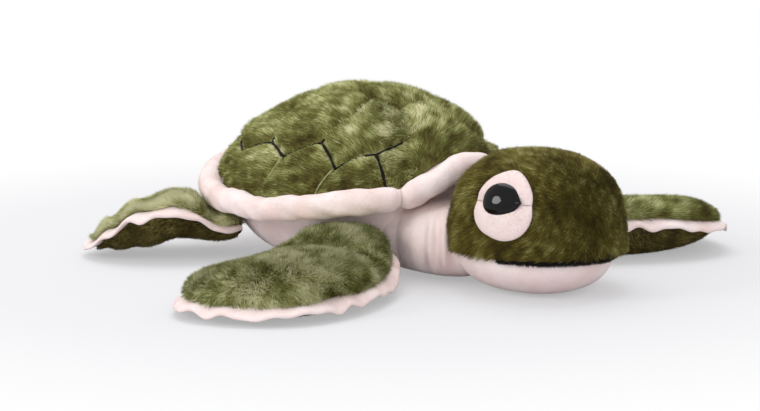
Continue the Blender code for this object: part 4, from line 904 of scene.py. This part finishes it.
REAR = {"angle": 126.0, "radius": 10 * MM, "length": 75 * MM, "chord": 56 * MM, "ridge": 0.0, "taper": 0.0,
        "trim": 8.0 * MM, "trim_from": -0.85, "droop": 0.30, "rim_gap": 3.2 * MM, "slack": 13 * MM,
        "plan": ((-0.12, 0.34), (0.12, 0.42), (0.40, 0.50), (0.72, 0.42), (0.94, 0.20), (1.00, -0.05), (0.90, -0.32),
                 (0.62, -0.48), (0.30, -0.48), (0.05, -0.42), (-0.12, -0.34)),
        "reach": (0.0, 0.36, 0.66, 0.88, 1.0), "seam": (1.05, 1.50, 1.30, 0.76, 0.33),
        "top": (1.20, 0.40, 0.22, 0.25, 0.28), "under": (0.55, 0.62, 0.80, 0.95, 1.0)}


def closed_curve(knots, count):
    """Even steps along a smooth closed curve through knots: a centripetal Catmull-Rom curve."""
    knots = np.asarray(knots, float)
    runs = []
    for index in range(len(knots)):
        four = [knots[(index + step) % len(knots)] for step in (-1, 0, 1, 2)]
        times = np.append(0.0, np.cumsum([math.sqrt(np.linalg.norm(b - a)) for a, b in zip(four, four[1:])]))
        along = np.linspace(times[1], times[2], 24, endpoint=False)[:, None]
        low = [((times[k + 1] - along) * four[k] + (along - times[k]) * four[k + 1]) / (times[k + 1] - times[k])
               for k in range(3)]
        mid = [((times[k + 2] - along) * low[k] + (along - times[k]) * low[k + 1]) / (times[k + 2] - times[k])
               for k in range(2)]
        runs.append(((times[2] - along) * mid[0] + (along - times[1]) * mid[1]) / (times[2] - times[1]))
    points = np.concatenate(runs)
    points = np.vstack((points, points[:1]))
    run = np.append(0.0, np.cumsum(np.linalg.norm(np.diff(points, axis=0), axis=1)))
    steps = np.linspace(0.0, run[-1], count)
    return np.stack([np.interp(steps, run, points[:, axis]) for axis in (0, 1)], axis=1)


class Flipper:
    """One flipper: its hinge from the frame, its outline and the heights over the outline."""

    def __init__(self, name, shape, tone, sweep=0.0, roll=0.0, fullness=1.0):
        self.name, self.shape, self.tone = name, shape, tone
        self.sweep, self.roll, self.fullness = sweep, roll, fullness
        side = -1.0 if "right" in name else 1.0
        angle = math.radians(shape["angle"])
        self.out = np.array((side * math.sin(angle), -math.cos(angle)))
        self.lead = np.array((-side * math.cos(angle), -math.sin(angle)))
        hinge = joints[name + "_flap"]["pos_m"]
        self.origin, self.height = np.array(hinge[:2]), hinge[2]
        knots = [(reach * shape["length"] if reach > 0 else -shape["radius"], lead * shape["chord"])
                 for reach, lead in shape["plan"]]
        self.curve = closed_curve(knots, 721)
        if side < 0.0:
            self.curve = self.curve[::-1]
        self.curve[:, 0] = np.maximum(self.curve[:, 0], -shape["radius"])
        self.ridge = shape["ridge"] * shape["chord"]
        self.centre = np.array(((self.curve[:, 0].max() + self.curve[:, 0].min()) / 2.0, self.ridge))
        hinge, way = np.array(hinge), np.append(self.out, 0.0)
        self.carried = ("torso", name, tuple(hinge - way * shape["radius"]),
                        tuple(hinge + way * BEND_SHARE * shape["length"]))
        turns = side * (angle + np.linspace(-1.0, 1.0, 81) * math.radians(60.0))
        middle, radius, _ = rim_centre(turns)
        away = middle[:, :2] - self.origin
        order = np.argsort(away @ self.lead)
        self.rim = [(away @ self.lead)[order], (away @ self.out + radius)[order], (middle[:, 2] - radius)[order]]

    def outline(self, turns):
        """The outline at turns, which run evenly along it."""
        share = (turns / FULL_TURN) % 1.0
        steps = np.linspace(0.0, 1.0, len(self.curve))
        return np.stack([np.interp(share, steps, self.curve[:, axis]) for axis in (0, 1)], axis=1)

    def along(self, reach, shares):
        """A height along the flipper, from shares of the root's height."""
        return self.height * eased(reach / self.shape["length"], self.shape["reach"], shares)

    def seam(self, reach, lead):
        """Height of the seam between the covers."""
        settled = eased(reach / self.shape["length"], (0.0, ROLL_SETTLED, 1.0), (0.0, 1.0, 1.0))
        return self.along(reach, self.shape["seam"]) + (lead + self.shape["chord"] / 2.0) * self.roll * settled

    def cover(self, top, inset):
        """The upper or lower cover: the swell of (1 - share to 2.6) to 0.5, kept clear of rim and belly at the root."""
        shape, radius = self.shape, self.shape["radius"] - inset

        def surface(shares, turns):
            flat = self.centre + (self.outline(turns) - self.centre) * shares[:, None]
            reach, lead = flat.T
            seam = self.seam(reach, lead)
            crown = (1.0 - shares ** SWELL_POWERS[0]) ** SWELL_POWERS[1]
            inside = np.sqrt(radius ** 2 - np.clip(-reach, 0.0, radius) ** 2)
            outer = np.maximum(reach, 0.0)
            if top:
                behind = np.clip((self.ridge - lead) / (shape["chord"] / 2.0), 0.0, 1.0)
                taper = shape["taper"] * (1.0 - TAPER_FADE * np.clip(reach / shape["length"], 0.0, 1.0))
                depth = (self.along(reach, shape["top"]) - LIP) * (1.0 - taper * eased(behind, (0.0, 1.0), (0.0, 1.0)))
                height = seam + LIP + np.maximum(depth * self.fullness - inset, 0.0) * crown
                below = np.interp(lead, self.rim[0], self.rim[2]) - self.height - shape["rim_gap"]
                past = np.interp(lead, self.rim[0], self.rim[1]) + shape["rim_gap"]
                free = np.maximum((below - outer * math.sin(FLAP_UP)) / math.cos(FLAP_UP),
                                  (outer * math.cos(FLAP_UP) - past) / math.sin(FLAP_UP)) - inset
                free += shape["slack"] * np.clip((outer - past) / (6 * MM), 0.0, 1.0)
                free = np.maximum(free, seam - self.height + LIP)
            else:
                depth = seam * eased(reach / shape["length"], shape["reach"], shape["under"])
                height = np.maximum(seam - LIP - (depth - inset - LIP) * crown, inset)
                free = np.maximum(outer / math.tan(FLAP_DOWN), radius)
            limit = np.where(reach < 0.0, inside, free)
            rise = np.clip(height - self.height, -limit, limit)
            rise = np.where(reach < 0.0, np.maximum(rise, LIP) if top else np.minimum(rise, -LIP), rise)
            return self.place(reach, lead, self.height + rise)
        return surface

    def inner(self):
        """A lid inside the flipper at the height of the seam."""
        def surface(shares, turns):
            reach, lead = (self.centre + (self.outline(turns) - self.centre) * shares[:, None]).T
            height = np.where(reach < 0.0, self.height, self.seam(reach, lead))
            return self.place(reach, lead, height)
        return surface

    def place(self, reach, lead, height):
        """World places from reach, lead and height."""
        leaned = lead + np.maximum(reach, 0.0) * self.sweep
        return np.column_stack((self.origin + reach[:, None] * self.out + leaned[:, None] * self.lead, height))


# %% Flipper covers
# Painted light: the near flippers, on the right, are given a lighter tone of the same pile than the far ones.
flippers = [Flipper("front_right_flipper", FRONT, tone=0.70),
            Flipper("front_left_flipper", FRONT, tone=0.47, sweep=0.14, roll=0.15, fullness=0.60),
            Flipper("rear_right_flipper", REAR, tone=0.84, roll=0.08),
            Flipper("rear_left_flipper", REAR, tone=0.70, roll=0.08)]


def flipper_pile(flipper, base, name, material, slot, count, long, lift, width, tones, tuck):
    """Pile brushed from the root to the tip and a little forwards, with painted light where it faces up."""
    at = scatter(base["points"], base["faces"], count)
    roots, normals = at(base["points"]), unit(at(base["normals"]))
    keep = (roots[:, :2] - flipper.origin) @ flipper.out > -tuck * flipper.shape["radius"]
    roots, normals = roots[keep], normals[keep]
    swirl = np.stack([drift(roots, 40 * MM, kind) for kind in (16, 17, 18)], axis=1)
    comb = np.append(flipper.out + 0.45 * flipper.lead, -0.2) + swirl * 0.4 + rng.normal(size=roots.shape) * 0.2
    length = long * (0.75 + 0.4 * rng.random(len(roots)))
    tone = tones + 0.15 * drift(roots, 30 * MM, 19) + 0.14 * drift(roots, 9 * MM, 20)
    tone = tone + 0.13 * rng.normal(size=len(roots))
    # Painted light: pile that faces up is lighter.
    tone += 0.12 * np.clip(normals[:, 2], 0.0, 1.0)
    blades(name, material, flipper.carried, slot, roots, normals, comb, length, tone, lift=lift, width=width,
           tuft=2.6 * MM, hold=0.25)


for flipper in flippers:
    front = flipper.shape is FRONT
    base = pad(flipper.name + "_plush", flipper.cover(True, 2.4 * MM), flipper.inner(), (40, 2), 200, material=backing,
               body=flipper.carried, replaced=(flipper.name + "_top", flipper.name + "_stuffing"), slot="green_plush")
    flipper_pile(flipper, base, flipper.name + "_pile", long_pile, "green_plush", 58000 if front else 26000, 6.6 * MM,
                 42.0, 0.5 * MM, flipper.tone, 0.2 if front else 0.8)
    base = pad(flipper.name + "_sole", flipper.inner(), flipper.cover(False, 0.5 * MM), (2, 30), 200,
               material=dark_backing, body=flipper.carried, replaced=(flipper.name + "_under",),
               slot="dark_green_plush")
    flipper_pile(flipper, base, flipper.name + "_sole_pile", short_pile, "dark_green_plush", 16000 if front else 9000,
                 3.0 * MM, 30.0, 0.5 * MM, 0.5, 0.8)

# %% [markdown]
# The trim is a folded strip of velour. Its sewn edge is shorter than its free edge, so the free edge ruffles. Here
# a flat oval section is carried along the outline, and a wave lifts and drops its outer part.

# %% Trims
def ruffled(flipper):
    """Sections of the trim: from 2 mm inside the seam to its width outside, with two waves of unlike length."""
    shape = flipper.shape
    turns = np.linspace(0.0, FULL_TURN, 561)[:-1]
    plan = flipper.outline(turns)
    step = np.roll(plan, -1, axis=0) - np.roll(plan, 1, axis=0)
    away = unit(np.stack((step[:, 1], -step[:, 0]), axis=1))
    if np.sum(away * (plan - plan.mean(axis=0))) < 0.0:
        away = -away
    clear = plan[:, 0] > shape["trim_from"] * shape["radius"]
    first = int(np.flatnonzero(clear & ~np.roll(clear, 1))[0])
    order = (first + np.arange(int(clear.sum()))) % len(plan)
    plan, away = plan[order], away[order]
    run = np.append(0.0, np.cumsum(np.linalg.norm(np.diff(plan, axis=0), axis=1)))
    angle = np.linspace(0.0, FULL_TURN, 20, endpoint=False)
    half = (shape["trim"] + 2 * MM) / 2.0
    growth = half - 2 * MM + half * signed_power(np.cos(angle), 0.8)
    lift = 0.7 * TRIM_THICKNESS * signed_power(np.sin(angle), 0.7)
    ends = np.clip(np.minimum(run, run[-1] - run) / (9 * MM), 0.12, 1.0) ** 0.5
    share = np.clip(growth / shape["trim"], 0.0, 1.0)[None, :] * ends[:, None]
    wave = 1.3 * np.sin(run * FULL_TURN / (29 * MM) + 1.8 * np.sin(run * FULL_TURN / (71 * MM)))
    wave = (wave + 0.5 * np.sin(run * FULL_TURN / (13 * MM) + 1.0))[:, None] * MM * share ** 1.2
    edge = plan[:, None] + away[:, None] * (growth[None, :] * ends[:, None])[..., None]
    droop = shape["droop"] * np.maximum(growth, 0.0)[None, :] * ends[:, None]
    seam = flipper.seam(plan[:, 0], plan[:, 1])[:, None] - droop
    height = np.maximum(seam + lift[None, :] * (0.75 + 0.25 * ends[:, None]) + wave, 0.4 * MM)
    rows = flipper.place(edge[..., 0].ravel(), edge[..., 1].ravel(), height.ravel())
    return swept(rows.reshape(len(run), len(angle), 3))


for flipper in flippers:
    points, faces = ruffled(flipper)
    mended(piece_of(flipper.name + "_ruffle", points, faces, velour, flipper.carried, (flipper.name + "_trim",),
                    "pink_velour", fill=0.5))
    nap(flipper.name + "_nap", points, faces, flipper.carried, 14000 if flipper.shape is FRONT else 8000)

# %% [markdown]
# A studio for a soft toy is white all round: a pale floor that fades to white, an even sky and three soft boxes:
# one above, one in front, and a small one beside the near eye, which shows in it. The floor keeps the shadow near the
# turtle, where it is already 38 % plain white to the camera, which thins that shadow. The sky is plain white to the
# camera and through clear things only, so the eyes mirror it a little darker.

# %% Studio
scene = bpy.context.scene
scene.view_settings.view_transform = "Standard"
world = bpy.data.worlds.new("studio")
scene.world = world
world.use_nodes = True
sky = world.node_tree
sky.nodes.clear()
path = add(sky, "ShaderNodeLightPath")
seen = add(sky, "ShaderNodeMath", {0: path.outputs["Is Camera Ray"], 1: path.outputs["Is Transmission Ray"]},
           operation="MAXIMUM")
plain = add(sky, "ShaderNodeBackground", {"Color": linear("#f6f6f8"), "Strength": 0.83})
white = add(sky, "ShaderNodeBackground", {"Color": (1.0, 1.0, 1.0, 1.0), "Strength": 1.0})
both = add(sky, "ShaderNodeMixShader", {0: seen.outputs[0], 1: plain.outputs[0], 2: white.outputs[0]})
add(sky, "ShaderNodeOutputWorld", {"Surface": both.outputs[0]})

floor_mesh = bpy.data.meshes.new("floor")
floor_mesh.from_pydata([(-9, -9, 0), (9, -9, 0), (9, 9, 0), (-9, 9, 0)], [], [(0, 1, 2, 3)])
floor = bpy.data.objects.new("floor", floor_mesh)
scene.collection.objects.link(floor)
floor_paper = bpy.data.materials.new("seamless_paper")
floor_mesh.materials.append(floor_paper)
floor_paper.use_nodes = True
paper = floor_paper.node_tree
paper.nodes.clear()
where = add(paper, "ShaderNodeTexCoord").outputs["Object"]
far = add(paper, "ShaderNodeVectorMath", {0: where}, operation="LENGTH")
fade = add(paper, "ShaderNodeMapRange", interpolation_type="SMOOTHSTEP",
           inputs={"Value": far.outputs["Value"], "From Min": 0.20, "From Max": 0.44, "To Min": 0.38})
camera_ray = add(paper, "ShaderNodeLightPath").outputs["Is Camera Ray"]
shown = add(paper, "ShaderNodeMath", {0: fade.outputs[0], 1: camera_ray}, operation="MULTIPLY")
mat = add(paper, "ShaderNodeBsdfDiffuse", {"Color": linear("#d2d2d5")})
glow = add(paper, "ShaderNodeEmission", {"Color": (1.0, 1.0, 1.0, 1.0), "Strength": 1.0})
mixed = add(paper, "ShaderNodeMixShader", {0: shown.outputs[0], 1: mat.outputs[0], 2: glow.outputs[0]})
add(paper, "ShaderNodeOutputMaterial", {"Surface": mixed.outputs[0]})


def soft_box(name, place, size, power):
    """A round lamp that looks at the turtle."""
    lamp = bpy.data.lights.new(name, "AREA")
    lamp.shape, lamp.size, lamp.energy = "DISK", size, power
    item = bpy.data.objects.new(name, lamp)
    scene.collection.objects.link(item)
    item.location = place
    aim = np.array(place) - (0.0, -0.04, 0.05)
    item.rotation_euler = (math.atan2(math.hypot(aim[0], aim[1]), aim[2]), 0.0, math.atan2(aim[0], -aim[1]))


soft_box("top_box", (0.20, 0.25, 1.35), 1.3, 9.0)
soft_box("side_box", (-1.52, 0.40, 0.72), 0.58, 7.5)
soft_box("front_box", (-1.05, -1.25, 0.50), 1.1, 5.5)
print("lamps:", len(bpy.data.lights))
